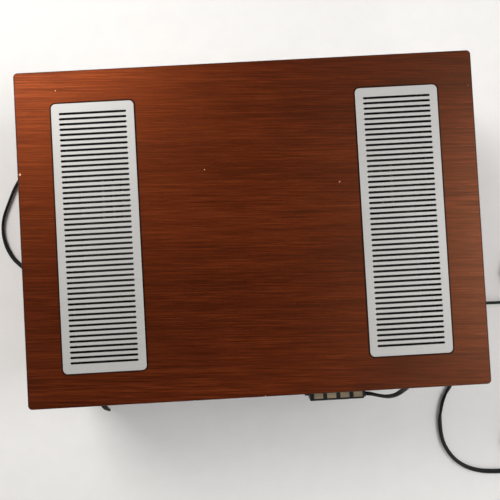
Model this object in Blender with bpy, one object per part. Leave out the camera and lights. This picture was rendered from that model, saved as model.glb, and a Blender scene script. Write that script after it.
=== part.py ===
"""Integrated stereo amplifier in a wooden case with two slotted grilles in its top.

Metres, +Z up. The front faces -Y and the rear +Y. The origin is on the floor under the
middle of the amplifier, counted from the knobs' front to the terminal block's rear.
"""
import math

import bmesh
import bpy
from mathutils import Vector

# Fits and cuts
FIT = 0.0003
OVERRUN = 0.003
SINK = 0.0005

# Sides of round pieces
FINE_SIDES = 24
SIDES = 16
SMALL_SIDES = 10
ARC_STEPS = 4
HALF = 0.5
THIRD = 1.0 / 3.0

# Wooden case
CASE_WIDTH = 0.436
CASE_DEPTH = 0.318
CASE_HEIGHT = 0.130
BOARD = 0.016
CASE_CORNER = 0.004
FRONT_REACH = 0.0165
REAR_REACH = 0.0165

# Feet
FOOT_HEIGHT = 0.012
FOOT_RADIUS = 0.014
FOOT_CHAMFER = 0.0015
FOOT_INSET_X = 0.038
FOOT_INSET_Y = 0.034
FOOT_RECESS_RADIUS = 0.0045
FOOT_RECESS_DEPTH = 0.005

# Grilles in the top
GRILLE_WIDTH = 0.0785
GRILLE_SHEET = 0.003
GRILLE_CORNER = 0.0045
GRILLE_SIDE_MARGIN = 0.0345
GRILLE_FRONT_MARGIN = 0.0315
GRILLE_REAR_MARGIN = 0.0315
GRILLE_PROUD = 0.0005
GRILLE_SLACK = 0.0006
GRILLE_LEDGE = 0.004
SLOT_PITCH = 0.005
SLOT_WIDTH = 0.0020
SLOT_LENGTH = 0.0636
SLOT_END_MARGIN = 0.010

# Front panel, chassis tray and rear panel
PANEL_RECESS = 0.003
PANEL_THICKNESS = 0.004
STEEL = 0.0015
TRAY_WALL_HEIGHT = 0.040
REAR_RECESS = 0.006
VENT_LENGTH = 0.050
VENT_WIDTH = 0.004
VENT_PITCH = 0.012
VENT_COUNT = 6
VENT_X_SHARE = 0.33
VENT_Y_SHARE = -0.17

# Knobs, their shafts and the controls that they turn
KNOB_ROW_HEIGHT = 0.068
KNOB_GAP = 0.001
KNOB_CHAMFER = 0.0012
KNOB_SKIRT = 0.0018
KNOB_SKIRT_STEP = 0.0015
KNOB_RECESS_DEPTH = 0.005
KNOB_WALL = 0.003
POINTER_WIDTH = 0.0014
POINTER_DEPTH = 0.0008
POINTER_INNER_SHARE = 0.45
LARGE_KNOB_RADIUS = 0.022
MIDDLE_KNOB_RADIUS = 0.018
SMALL_KNOB_RADIUS = 0.015
SMALL_KNOB_REACH = 0.0135
SHAFT_RADIUS = 0.003
BUSH_RADIUS = 0.0045
BUSH_PROUD = 0.004
NUT_RADIUS = 0.0070
NUT_THICKNESS = 0.0022
POT_RADIUS = 0.012
POT_DEPTH = 0.011
POT_BORE_DEPTH = 0.006
SWITCH_RADIUS = 0.017
SWITCH_DEPTH = 0.024
KNOB_PLACE_SHARES = {
    "selector": -0.37,
    "bass": -0.185,
    "treble": -0.03,
    "balance": 0.125,
    "volume": 0.34,
}

# Push buttons and their switch bank
BUTTON_NAMES = ("power", "mono", "loudness", "filter")
BUTTON_ROW_HEIGHT = 0.025
BUTTON_ROW_SHARE = 0.025
BUTTON_WIDTH = 0.016
BUTTON_HEIGHT = 0.009
BUTTON_PROUD = 0.006
BUTTON_SLACK = 0.0004
BUTTON_PITCH = 0.024
BUTTON_TRAVEL = 0.0035
BUTTON_STOP_GAP = 0.0008
STEM_WIDTH = 0.005
STEM_HEIGHT = 0.004
STEM_LENGTH = 0.010
BANK_MARGIN = 0.004
BANK_DEPTH = 0.024

# Headphone socket and pilot lamp
JACK_SHARE = -0.37
JACK_BORE_RADIUS = 0.0033
JACK_BORE_DEPTH = 0.020
JACK_BARREL_RADIUS = 0.0048
JACK_RING_RADIUS = 0.0068
JACK_RING_THICKNESS = 0.0025
JACK_BODY_RADIUS = 0.0085
JACK_BODY_DEPTH = 0.022
LAMP_SHARE = 0.34
LAMP_RADIUS = 0.0032
LAMP_DOME = 0.0022
LAMP_FLANGE = 0.0012
LAMP_BODY_RADIUS = 0.0045
LAMP_BODY_DEPTH = 0.010

# Speaker terminal block on the rear panel
TERMINAL_EDGE_DISTANCE = 0.1252
TERMINAL_WIDTH = 0.054
TERMINAL_DROP = 0.014
TERMINAL_HEIGHT = 0.026
TERMINAL_REACH = 0.0151
LEVER_COUNT = 4
LEVER_PITCH = 0.0131
LEVER_WIDTH = 0.0090
LEVER_SHIFT = -0.0012
LEVER_SIDE_GAP = 0.0003
LEVER_THICKNESS = 0.0030
LEVER_PROUD = 0.0008
LEVER_INNER_GAP = 0.0006
LEVER_OUTER_GAP = 0.0006
LEVER_PIVOT_INSET = 0.0015
POCKET_LENGTH = 0.0142
POCKET_DEPTH = 0.009
POCKET_RIM = 0.0015
WIRE_HOLE_RADIUS = 0.0016
WIRE_HOLE_DEPTH = 0.010
WIRE_HOLE_DROP = 0.0185
ENTRY_RADIUS = 0.0032
ENTRY_LENGTH = 0.0025
ENTRY_DROP = 0.0045
ENTRY_INSET = 0.0035
EAR_LENGTH = 0.0045
EAR_DROP = 0.006
EAR_HEIGHT = 0.012
EAR_INSET = 0.0041

# Phono socket board
SOCKET_COLUMNS = 4
SOCKET_ROWS = 2
SOCKET_PITCH_X = 0.022
SOCKET_PITCH_Z = 0.018
SOCKET_FUSE_DISTANCE = 0.074
SOCKET_ROW_HEIGHT = 0.050
SOCKET_RADIUS = 0.0041
SOCKET_HOLE_RADIUS = 0.0016
SOCKET_HOLE_DEPTH = 0.008
SOCKET_REACH = 0.009
SOCKET_CLEARANCE = 0.0004
SOCKET_BOARD_MARGIN = 0.010
CIRCUIT_BOARD = 0.0016

# Earth terminal, fuse holder and mains gland
EARTH_SOCKET_DISTANCE = 0.064
EARTH_HEIGHT = 0.050
EARTH_STUD_RADIUS = 0.0020
EARTH_STUD_LENGTH = 0.012
EARTH_NUT_RADIUS = 0.0050
EARTH_NUT_LENGTH = 0.0065
FUSE_GLAND_DISTANCE = 0.036
FUSE_HEIGHT = 0.033
FUSE_FLANGE_RADIUS = 0.0085
FUSE_FLANGE = 0.003
FUSE_BARREL_RADIUS = 0.0065
FUSE_BODY_DEPTH = 0.024
FUSE_BORE_RADIUS = 0.0045
FUSE_BORE_DEPTH = 0.016
FUSE_CAP_RADIUS = 0.0068
FUSE_CAP_LENGTH = 0.007
FUSE_CAP_STEM = 0.012
GLAND_EDGE_DISTANCE = 0.0237
GLAND_HEIGHT = 0.033
GLAND_NECK_RADIUS = 0.0055
GLAND_FLANGE_RADIUS = 0.0080
GLAND_FLANGE = 0.004
GLAND_TIP_RADIUS = 0.0036
GLAND_REACH = 0.0225
GLAND_INNER = 0.006

# Transformer
CORE_WIDTH = 0.084
CORE_HEIGHT = 0.070
CORE_STACK = 0.036
CORE_LIMB = 0.014
CORE_SIDE_GAP = 0.0245
CORE_FUSE_GAP = 0.010
WINDING_BULGE = 0.014
WINDING_CLEARANCE = 0.0003

# Smoothing capacitors and the base that holds them
CAP_RADIUS = 0.0175
CAP_HEIGHT = 0.062
CAP_SPACING = 0.040
CAP_CORE_GAP = 0.0145
CAP_REAR_GAP = 0.018
CAP_GROOVE = 0.0010
CAP_GROOVE_DROP = 0.007
CAP_BASE_HEIGHT = 0.010
CAP_BASE_WALL = 0.004

# Heat sink and output transistors
SINK_LENGTH = 0.130
SINK_HEIGHT = 0.080
SINK_BASE = 0.006
SINK_FIN_REACH = 0.026
SINK_FIN = 0.0025
SINK_FIN_COUNT = 9
SINK_X_SHARE = -0.27
SINK_Y_SHARE = 0.05
TRANSISTOR_LENGTH = 0.039
TRANSISTOR_WIDTH = 0.026
TRANSISTOR_PLATE = 0.0016
TRANSISTOR_CAN_RADIUS = 0.0100
TRANSISTOR_CAN_HEIGHT = 0.0075
TRANSISTOR_SPACING = 0.060
TRANSISTOR_HEIGHT_SHARE = 0.55

# Circuit boards and the small components on them
BOARD_SPACER = 0.008
BOARD_SPACER_RADIUS = 0.003
BOARD_SPACER_INSET = 0.006
OUTPUT_BOARD_WIDTH = 0.120
OUTPUT_BOARD_LENGTH = 0.110
OUTPUT_BOARD_X_SHARE = -0.06
OUTPUT_BOARD_GAP = 0.010
TONE_BOARD_WIDTH = 0.190
TONE_BOARD_LENGTH = 0.034
TONE_BOARD_X_SHARE = -0.02
TONE_BOARD_GAP = 0.028
RESISTOR_LENGTH = 0.010
RESISTOR_WIDTH = 0.004
SMALL_CAP_RADIUS = 0.005
SMALL_CAP_HEIGHT = 0.014
OUTPUT_RESISTOR_SHARES = ((-0.30, -0.36), (-0.02, -0.36), (0.26, -0.36), (-0.30, 0.0), (0.26, 0.0),
                          (-0.30, 0.36), (0.0, 0.36), (0.30, 0.36))
OUTPUT_CAP_SHARES = ((-0.16, -0.18), (0.12, -0.18), (-0.02, 0.05), (-0.16, 0.20), (0.14, 0.20))
TONE_RESISTOR_SHARES = ((-0.34, -0.2), (-0.20, 0.2), (-0.06, -0.2), (0.08, 0.2), (0.22, -0.2), (0.36, 0.2))
TONE_CAP_SHARES = ((-0.27, 0.0), (-0.13, 0.0), (0.015, 0.0), (0.15, 0.0), (0.29, 0.0))

# Cords: two black twin flexes
CORD_WIDTH = 0.0052
CORD_FLOOR_GAP = 0.0002
CORD_STEP_DIAMETERS = 2.9
CORD_RESOLUTION = 2
COIL_RESOLUTION = 1
COIL_POINTS_PER_TURN = 24
COIL_GAP = 0.0005
COIL_LEAD_IN = 0.010
COIL_EXIT_STEP = 0.0064
COIL_EXIT_RUN = 0.012
MAINS_COIL_RADIUS = 0.0357
MAINS_COIL_TURNS = 2.25
LEAD_COIL_RADIUS = 0.0354
LEAD_COIL_TURNS = 2.75

# Mains plug
PLUG_THICKNESS = 0.0137
PLUG_LENGTH = 0.034
PLUG_ENTRY_WIDTH = 0.012
PLUG_SHOULDER_WIDTH = 0.030
PLUG_FACE_WIDTH = 0.0353
PLUG_SHOULDER_SHARE = 0.36
PLUG_PIN_RADIUS = 0.0020
PLUG_PIN_LENGTH = 0.019
PLUG_PIN_SPACING = 0.0186

# Speaker plug
DIN_RADIUS = 0.0070
DIN_NECK_RADIUS = 0.0045
DIN_LENGTH = 0.034
DIN_NECK_SHARE = 0.3
DIN_PIN_RADIUS = 0.0015
DIN_PIN_LENGTH = 0.008
DIN_BLADE_WIDTH = 0.006
DIN_BLADE_THICKNESS = 0.0016
DIN_PIN_SPACING = 0.0058

# Places worked out from the sizes above
CASE_BOTTOM = FOOT_HEIGHT
CASE_TOP = FOOT_HEIGHT + CASE_HEIGHT
BOARD_UNDERSIDE = CASE_TOP - BOARD
CASE_FRONT = FRONT_REACH - (FRONT_REACH + CASE_DEPTH + REAR_REACH) * HALF
CASE_REAR = CASE_FRONT + CASE_DEPTH
CASE_MIDDLE_Y = (CASE_FRONT + CASE_REAR) * HALF
INNER_X = CASE_WIDTH * HALF - BOARD - FIT
PANEL_FRONT = CASE_FRONT + PANEL_RECESS
PANEL_BACK = PANEL_FRONT + PANEL_THICKNESS
WALL_FRONT = PANEL_BACK + FIT
WALL_BACK = WALL_FRONT + STEEL
REAR_FACE = CASE_REAR - REAR_RECESS
REAR_INNER = REAR_FACE - STEEL
TRAY_UNDERSIDE = CASE_BOTTOM + FIT
TRAY_FLOOR = TRAY_UNDERSIDE + STEEL
INNER_TOP = BOARD_UNDERSIDE - FIT
KNOB_ROW = CASE_BOTTOM + KNOB_ROW_HEIGHT
BUTTON_ROW = CASE_BOTTOM + BUTTON_ROW_HEIGHT
GRILLE_Y0 = CASE_FRONT + GRILLE_FRONT_MARGIN
GRILLE_Y1 = CASE_REAR - GRILLE_REAR_MARGIN
GRILLE_SPACING = CASE_WIDTH - 2 * GRILLE_SIDE_MARGIN - GRILLE_WIDTH
RABBET_FLOOR = CASE_TOP + GRILLE_PROUD - GRILLE_SHEET - FIT
BLOCK_REAR = CASE_REAR + TERMINAL_REACH
BLOCK_FRONT = REAR_FACE + FIT
BLOCK_TOP = BOARD_UNDERSIDE - TERMINAL_DROP
TERMINAL_X = TERMINAL_EDGE_DISTANCE - INNER_X
GLAND_X = INNER_X - GLAND_EDGE_DISTANCE
FUSE_X = GLAND_X - FUSE_GLAND_DISTANCE
SOCKET_ROW_X = FUSE_X - SOCKET_FUSE_DISTANCE
EARTH_X = SOCKET_ROW_X - EARTH_SOCKET_DISTANCE
CORE_X = INNER_X - CORE_SIDE_GAP - CORE_WIDTH * HALF
CORE_Y = REAR_INNER - FIT - FUSE_BODY_DEPTH - CORE_FUSE_GAP - WINDING_BULGE - CORE_STACK * HALF
CAP_REACH = CAP_RADIUS + CAP_BASE_WALL
CAP_X = CORE_X - CORE_WIDTH * HALF - CAP_CORE_GAP - CAP_REACH - CAP_SPACING * HALF
CAP_Y = REAR_INNER - CAP_REAR_GAP - CAP_REACH
TONE_BOARD_Y = WALL_BACK + TONE_BOARD_GAP + TONE_BOARD_LENGTH * HALF
OUTPUT_BOARD_Y = TONE_BOARD_Y + (TONE_BOARD_LENGTH + OUTPUT_BOARD_LENGTH) * HALF + OUTPUT_BOARD_GAP
CORD_RADIUS = CORD_WIDTH * HALF
CORD_HEIGHT = CORD_RADIUS + CORD_FLOOR_GAP
GLAND_Z = CASE_BOTTOM + GLAND_HEIGHT
ENTRY_Z = BLOCK_TOP - ENTRY_DROP
ENTRY_Y = BLOCK_REAR - ENTRY_INSET
ENTRY_END = TERMINAL_X - TERMINAL_WIDTH * HALF - ENTRY_LENGTH

# The mains flex: from the gland to the floor, out beside the case and back under it
MAINS_ROUTE = (
    (0.1780, 0.1758, 0.0450), (0.1779, 0.1795, 0.0450), (0.1774, 0.1836, 0.0441), (0.1763, 0.1875, 0.0419),
    (0.1752, 0.1909, 0.0380), (0.1748, 0.1932, 0.0325), (0.1758, 0.1942, 0.0268), (0.1790, 0.1942, 0.0210),
    (0.1842, 0.1930, 0.0156), (0.1910, 0.1902, 0.0110), (0.2030, 0.1844, 0.0058), (0.2125, 0.1788, 0.0036),
    (0.2230, 0.1712, 0.0028), (0.2335, 0.1590, 0.0028), (0.2415, 0.1430, 0.0028), (0.2465, 0.1220, 0.0028),
    (0.2496, 0.0980, 0.0028), (0.2535, 0.0740, 0.0028), (0.2602, 0.0525, 0.0028), (0.2695, 0.0350, 0.0028),
    (0.2798, 0.0226, 0.0028), (0.2896, 0.0122, 0.0028), (0.2974, -0.0030, 0.0028), (0.3010, -0.0209, 0.0028),
    (0.2989, -0.0383, 0.0028), (0.2916, -0.0573, 0.0028), (0.2831, -0.0755, 0.0028), (0.2725, -0.0893, 0.0028),
    (0.2585, -0.0980, 0.0028), (0.2420, -0.1010, 0.0028), (0.2200, -0.0985, 0.0028), (0.1850, -0.0868, 0.0028),
    (0.1250, -0.0610, 0.0028), (0.0400, -0.0195, 0.0028), (-0.0500, 0.0250, 0.0028), (-0.1450, 0.0647, 0.0028),
    (-0.2150, 0.0870, 0.0028), (-0.2640, 0.0972, 0.0028), (-0.2895, 0.0984, 0.0028), (-0.3340, 0.0990, 0.0028),
)
# The speaker lead: from the terminal block to the floor, round behind the case and away
LEAD_ROUTE = (
    (-0.1065, 0.1706, 0.1075), (-0.1098, 0.1708, 0.1075), (-0.1146, 0.1723, 0.1067), (-0.1212, 0.1747, 0.1037),
    (-0.1290, 0.1774, 0.0982), (-0.1368, 0.1795, 0.0905), (-0.1443, 0.1811, 0.0808), (-0.1518, 0.1823, 0.0695),
    (-0.1594, 0.1834, 0.0570), (-0.1672, 0.1845, 0.0440), (-0.1752, 0.1848, 0.0315), (-0.1835, 0.1834, 0.0210),
    (-0.1922, 0.1796, 0.0125), (-0.2003, 0.1750, 0.0068), (-0.2080, 0.1709, 0.0038), (-0.2129, 0.1688, 0.0029),
    (-0.2178, 0.1680, 0.0028), (-0.2272, 0.1705, 0.0028), (-0.2341, 0.1774, 0.0028), (-0.2364, 0.1868, 0.0028),
    (-0.2335, 0.1962, 0.0028), (-0.2276, 0.2050, 0.0028), (-0.2230, 0.2140, 0.0028), (-0.2204, 0.2240, 0.0028),
    (-0.2184, 0.2350, 0.0028), (-0.2184, 0.2500, 0.0028), (-0.2208, 0.2640, 0.0028), (-0.2270, 0.2770, 0.0028),
    (-0.2365, 0.2880, 0.0028), (-0.2490, 0.2960, 0.0028), (-0.2640, 0.3008, 0.0028), (-0.2800, 0.3026, 0.0028),
    (-0.2960, 0.3030, 0.0028), (-0.3120, 0.3030, 0.0028), (-0.3220, 0.3030, 0.0028),
)


def clear_scene():
    for obj in list(bpy.data.objects):
        bpy.data.objects.remove(obj, do_unlink=True)


# Materials

def make_finish(name, colour, roughness, metallic=0.0):
    material = bpy.data.materials.new(name)
    material.use_nodes = True
    shader = material.node_tree.nodes["Principled BSDF"]
    shader.inputs["Base Color"].default_value = (*colour, 1.0)
    shader.inputs["Roughness"].default_value = roughness
    shader.inputs["Metallic"].default_value = metallic
    return material


def make_finishes():
    return {
        "wood": make_finish("wood", (0.17, 0.045, 0.015), 0.38),
        "grille": make_finish("grille", (0.62, 0.61, 0.58), 0.35, 0.8),
        "panel": make_finish("panel", (0.66, 0.66, 0.65), 0.32, 1.0),
        "steel": make_finish("steel", (0.42, 0.42, 0.40), 0.45, 1.0),
        "black_paint": make_finish("black_paint", (0.02, 0.02, 0.02), 0.5),
        "knob": make_finish("knob", (0.70, 0.70, 0.69), 0.25, 1.0),
        "black_plastic": make_finish("black_plastic", (0.015, 0.015, 0.015), 0.4),
        "pale_plastic": make_finish("pale_plastic", (0.55, 0.44, 0.30), 0.45),
        "lamp": make_finish("lamp", (0.7, 0.08, 0.03), 0.15),
        "board": make_finish("board", (0.33, 0.20, 0.08), 0.5),
        "copper": make_finish("copper", (0.45, 0.20, 0.07), 0.4),
        "capacitor": make_finish("capacitor", (0.05, 0.12, 0.32), 0.35),
        "brass": make_finish("brass", (0.66, 0.48, 0.20), 0.3, 1.0),
        "rubber": make_finish("rubber", (0.02, 0.02, 0.02), 0.7),
        "flex": make_finish("flex", (0.02, 0.02, 0.018), 0.45),
    }


# Closed shapes: each of these gives a function that adds its shape to a bmesh

def block(low, high):
    def fill(bm):
        corners = [bm.verts.new((x, y, z)) for z in (low[2], high[2])
                   for y in (low[1], high[1]) for x in (low[0], high[0])]
        for loop in ((0, 2, 3, 1), (4, 5, 7, 6), (0, 1, 5, 4), (2, 6, 7, 3), (0, 4, 6, 2), (1, 3, 7, 5)):
            bm.faces.new([corners[i] for i in loop])
    return fill


def on_axis(axis, along, u, v):
    """A point from its place along the axis and its two other coordinates in X, Y, Z order."""
    if axis == "x":
        return (along, u, v)
    if axis == "y":
        return (u, along, v)
    return (u, v, along)


def prism(axis, outline, low, high):
    def fill(bm):
        ends = [[bm.verts.new(on_axis(axis, along, u, v)) for u, v in outline] for along in (low, high)]
        count = len(outline)
        bm.faces.new(ends[0])
        bm.faces.new(ends[1])
        for i in range(count):
            j = (i + 1) % count
            bm.faces.new((ends[0][i], ends[0][j], ends[1][j], ends[1][i]))
    return fill


def lathe(axis, u, v, profile, sides=SIDES):
    """A turned shape round the line through (u, v). The profile's ends lie on the line."""
    def fill(bm):
        rings = []
        for along, radius in profile:
            if radius == 0:
                rings.append([bm.verts.new(on_axis(axis, along, u, v))])
                continue
            turns = [2 * math.pi * (k + HALF) / sides for k in range(sides)]
            rings.append([bm.verts.new(on_axis(axis, along, u + radius * math.cos(t), v + radius * math.sin(t)))
                          for t in turns])
        for near, far in zip(rings, rings[1:]):
            for k in range(sides):
                m = (k + 1) % sides
                corners = [near[k % len(near)], near[m % len(near)], far[m % len(far)], far[k % len(far)]]
                bm.faces.new(list(dict.fromkeys(corners)))
    return fill


def rod(axis, u, v, low, high, radius, sides=SIDES):
    return lathe(axis, u, v, ((low, 0), (low, radius), (high, radius), (high, 0)), sides)


def rounded(low_u, low_v, high_u, high_v, radii):
    """A rectangle's outline; radii are for its corners, counted round from (low_u, low_v)."""
    corners = ((low_u, low_v, 1, 1, math.pi), (high_u, low_v, -1, 1, 1.5 * math.pi),
               (high_u, high_v, -1, -1, 0.0), (low_u, high_v, 1, -1, HALF * math.pi))
    points = []
    for (u, v, side_u, side_v, start), radius in zip(corners, radii):
        if radius == 0:
            points.append((u, v))
            continue
        for k in range(ARC_STEPS + 1):
            turn = start + HALF * math.pi * k / ARC_STEPS
            points.append((u + side_u * radius + radius * math.cos(turn),
                           v + side_v * radius + radius * math.sin(turn)))
    return points


def mesh_from(name, shapes, origin):
    bm = bmesh.new()
    for fill in shapes:
        fill(bm)
    bmesh.ops.recalc_face_normals(bm, faces=bm.faces)
    bmesh.ops.translate(bm, verts=bm.verts, vec=-Vector(origin))
    mesh = bpy.data.meshes.new(name)
    bm.to_mesh(mesh)
    bm.free()
    return mesh


def operand(name, shapes):
    """A hidden guide that a Boolean modifier cuts away or joins on."""
    guide = bpy.data.objects.new(name, mesh_from(name, shapes, (0, 0, 0)))
    bpy.context.collection.objects.link(guide)
    guide.hide_render = True
    guide.display_type = "WIRE"
    return guide


def piece(name, base, finish, joined=(), cuts=(), origin=(0, 0, 0)):
    """One named solid: a base shape, shapes joined on in groups, then groups cut away."""
    mesh = mesh_from(name, [base], origin)
    mesh.materials.append(finish)
    mesh.shade_smooth()
    mesh.set_sharp_from_angle(angle=math.radians(30))
    solid = bpy.data.objects.new(name, mesh)
    solid.location = origin
    bpy.context.collection.objects.link(solid)
    for operation, groups in (("UNION", joined), ("DIFFERENCE", cuts)):
        for number, shapes in enumerate(groups):
            modifier = solid.modifiers.new(operation.lower() + str(number), "BOOLEAN")
            modifier.operation = operation
            modifier.object = operand(f"{name}_{operation.lower()}_{number}", shapes)
    return solid


# Places that several pieces share

def panel_x(share):
    return share * 2 * INNER_X


def case_x(share):
    return share * CASE_WIDTH


def case_y(share):
    return CASE_MIDDLE_Y + share * CASE_DEPTH


def knob_places():
    return {name: panel_x(share) for name, share in KNOB_PLACE_SHARES.items()}


def button_places():
    first = panel_x(BUTTON_ROW_SHARE) - BUTTON_PITCH * (len(BUTTON_NAMES) - 1) * HALF
    return {name: first + BUTTON_PITCH * k for k, name in enumerate(BUTTON_NAMES)}


def socket_places():
    places = []
    for column in range(SOCKET_COLUMNS):
        for row in range(SOCKET_ROWS):
            x = SOCKET_ROW_X + SOCKET_PITCH_X * (column - (SOCKET_COLUMNS - 1) * HALF)
            z = CASE_BOTTOM + SOCKET_ROW_HEIGHT + SOCKET_PITCH_Z * (row - (SOCKET_ROWS - 1) * HALF)
            places.append((x, z))
    return places


def lever_places():
    middle = TERMINAL_X + LEVER_SHIFT
    return [middle + LEVER_PITCH * (k - (LEVER_COUNT - 1) * HALF) for k in range(LEVER_COUNT)]


def around(x, z, width, height, y0, y1):
    return block((x - width * HALF, y0, z - height * HALF), (x + width * HALF, y1, z + height * HALF))


def control_holes(y0, y1):
    """The holes for bushes, buttons, socket and lamp, from y0 to y1."""
    holes = [rod("y", x, KNOB_ROW, y0, y1, BUSH_RADIUS + FIT) for x in knob_places().values()]
    for x in button_places().values():
        holes.append(around(x, BUTTON_ROW, BUTTON_WIDTH + 2 * BUTTON_SLACK, BUTTON_HEIGHT + 2 * BUTTON_SLACK, y0, y1))
    holes.append(rod("y", panel_x(JACK_SHARE), BUTTON_ROW, y0, y1, JACK_BARREL_RADIUS + FIT))
    holes.append(rod("y", panel_x(LAMP_SHARE), BUTTON_ROW, y0, y1, LAMP_RADIUS + FIT))
    return holes


# Wooden case and grilles

def grille_x(side):
    return side * GRILLE_SPACING * HALF


def grille_outline(side, grow, radius):
    x = grille_x(side)
    half = GRILLE_WIDTH * HALF + grow
    return rounded(x - half, GRILLE_Y0 - grow, x + half, GRILLE_Y1 + grow, (radius,) * 4)


def make_wood_top(finish):
    half = CASE_WIDTH * HALF
    base = prism("z", rounded(-half, CASE_FRONT, half, CASE_REAR, (CASE_CORNER,) * 4), BOARD_UNDERSIDE, CASE_TOP)
    rabbets = [prism("z", grille_outline(side, GRILLE_SLACK, GRILLE_CORNER + GRILLE_SLACK),
                     RABBET_FLOOR, CASE_TOP + OVERRUN) for side in (-1, 1)]
    openings = [prism("z", grille_outline(side, -GRILLE_LEDGE, 0), BOARD_UNDERSIDE - OVERRUN,
                      RABBET_FLOOR + OVERRUN) for side in (-1, 1)]
    piece("wood_top", base, finish, cuts=(rabbets, openings))


def make_wood_side(name, side, finish):
    inner = side * (CASE_WIDTH * HALF - BOARD)
    outer = side * CASE_WIDTH * HALF
    left = side < 0
    radii = (CASE_CORNER * left, CASE_CORNER * (not left), CASE_CORNER * (not left), CASE_CORNER * left)
    outline = rounded(min(inner, outer), CASE_FRONT, max(inner, outer), CASE_REAR, radii)
    piece(name, prism("z", outline, CASE_BOTTOM, BOARD_UNDERSIDE - FIT), finish)


def make_grille(name, side, finish):
    low = RABBET_FLOOR + FIT
    base = prism("z", grille_outline(side, 0, GRILLE_CORNER), low, low + GRILLE_SHEET)
    count = int(round((GRILLE_Y1 - GRILLE_Y0 - 2 * SLOT_END_MARGIN) / SLOT_PITCH)) + 1
    first = (GRILLE_Y0 + GRILLE_Y1) * HALF - SLOT_PITCH * (count - 1) * HALF
    x = grille_x(side)
    slots = []
    for k in range(count):
        y = first + SLOT_PITCH * k
        slots.append(block((x - SLOT_LENGTH * HALF, y - SLOT_WIDTH * HALF, low - OVERRUN),
                           (x + SLOT_LENGTH * HALF, y + SLOT_WIDTH * HALF, low + GRILLE_SHEET + OVERRUN)))
    piece(name, base, finish, cuts=(slots,))


# Front panel, tray and rear panel

def make_front_panel(finish):
    base = block((-INNER_X, PANEL_FRONT, CASE_BOTTOM), (INNER_X, PANEL_BACK, INNER_TOP))
    piece("front_panel", base, finish, cuts=(control_holes(PANEL_FRONT - OVERRUN, PANEL_BACK + OVERRUN),))


def make_chassis_tray(finish):
    rear = REAR_INNER - FIT
    base = block((-INNER_X, WALL_FRONT, TRAY_UNDERSIDE), (INNER_X, rear, INNER_TOP))
    hollow = block((-INNER_X + STEEL, WALL_BACK, TRAY_FLOOR), (INNER_X - STEEL, rear + OVERRUN, INNER_TOP + OVERRUN))
    above = block((-INNER_X - OVERRUN, WALL_BACK, TRAY_FLOOR + TRAY_WALL_HEIGHT),
                  (INNER_X + OVERRUN, rear + OVERRUN, INNER_TOP + OVERRUN))
    vents = []
    for side in (-1, 1):
        for k in range(VENT_COUNT):
            x = case_x(side * VENT_X_SHARE) + VENT_PITCH * (k - (VENT_COUNT - 1) * HALF)
            y = case_y(VENT_Y_SHARE)
            vents.append(block((x - VENT_WIDTH * HALF, y - VENT_LENGTH * HALF, TRAY_UNDERSIDE - OVERRUN),
                               (x + VENT_WIDTH * HALF, y + VENT_LENGTH * HALF, TRAY_FLOOR + OVERRUN)))
    holes = control_holes(WALL_FRONT - OVERRUN, WALL_BACK + OVERRUN)
    piece("chassis_tray", base, finish, cuts=([hollow], [above], vents + holes))


def make_rear_panel(finish):
    base = block((-INNER_X, REAR_INNER, TRAY_UNDERSIDE), (INNER_X, REAR_FACE, INNER_TOP))
    y0 = REAR_INNER - OVERRUN
    y1 = REAR_FACE + OVERRUN
    holes = [rod("y", x, z, y0, y1, SOCKET_RADIUS + SOCKET_CLEARANCE, SMALL_SIDES) for x, z in socket_places()]
    holes.append(rod("y", GLAND_X, GLAND_Z, y0, y1, GLAND_NECK_RADIUS + FIT))
    holes.append(rod("y", FUSE_X, CASE_BOTTOM + FUSE_HEIGHT, y0, y1, FUSE_BARREL_RADIUS + FIT))
    stud = rod("y", EARTH_X, CASE_BOTTOM + EARTH_HEIGHT, REAR_FACE - STEEL * HALF, REAR_FACE + EARTH_STUD_LENGTH,
               EARTH_STUD_RADIUS, SMALL_SIDES)
    piece("rear_panel", base, finish, joined=([stud],), cuts=(holes,))


def make_feet(finish):
    x = CASE_WIDTH * HALF - FOOT_INSET_X
    places = {"foot_front_left": (-x, CASE_FRONT + FOOT_INSET_Y), "foot_front_right": (x, CASE_FRONT + FOOT_INSET_Y),
              "foot_rear_left": (-x, CASE_REAR - FOOT_INSET_Y), "foot_rear_right": (x, CASE_REAR - FOOT_INSET_Y)}
    for name, (u, v) in places.items():
        profile = ((FOOT_RECESS_DEPTH, 0), (FOOT_RECESS_DEPTH, FOOT_RECESS_RADIUS), (0, FOOT_RECESS_RADIUS),
                   (0, FOOT_RADIUS - FOOT_CHAMFER), (FOOT_CHAMFER, FOOT_RADIUS), (FOOT_HEIGHT, FOOT_RADIUS),
                   (FOOT_HEIGHT, 0))
        piece(name, lathe("z", u, v, profile), finish)


# Knobs, shafts and controls

def knob_size(name):
    """A knob's radius and how far it reaches in front of the case."""
    if name == "volume":
        return LARGE_KNOB_RADIUS, FRONT_REACH
    if name == "selector":
        return MIDDLE_KNOB_RADIUS, SMALL_KNOB_REACH
    return SMALL_KNOB_RADIUS, SMALL_KNOB_REACH


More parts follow.
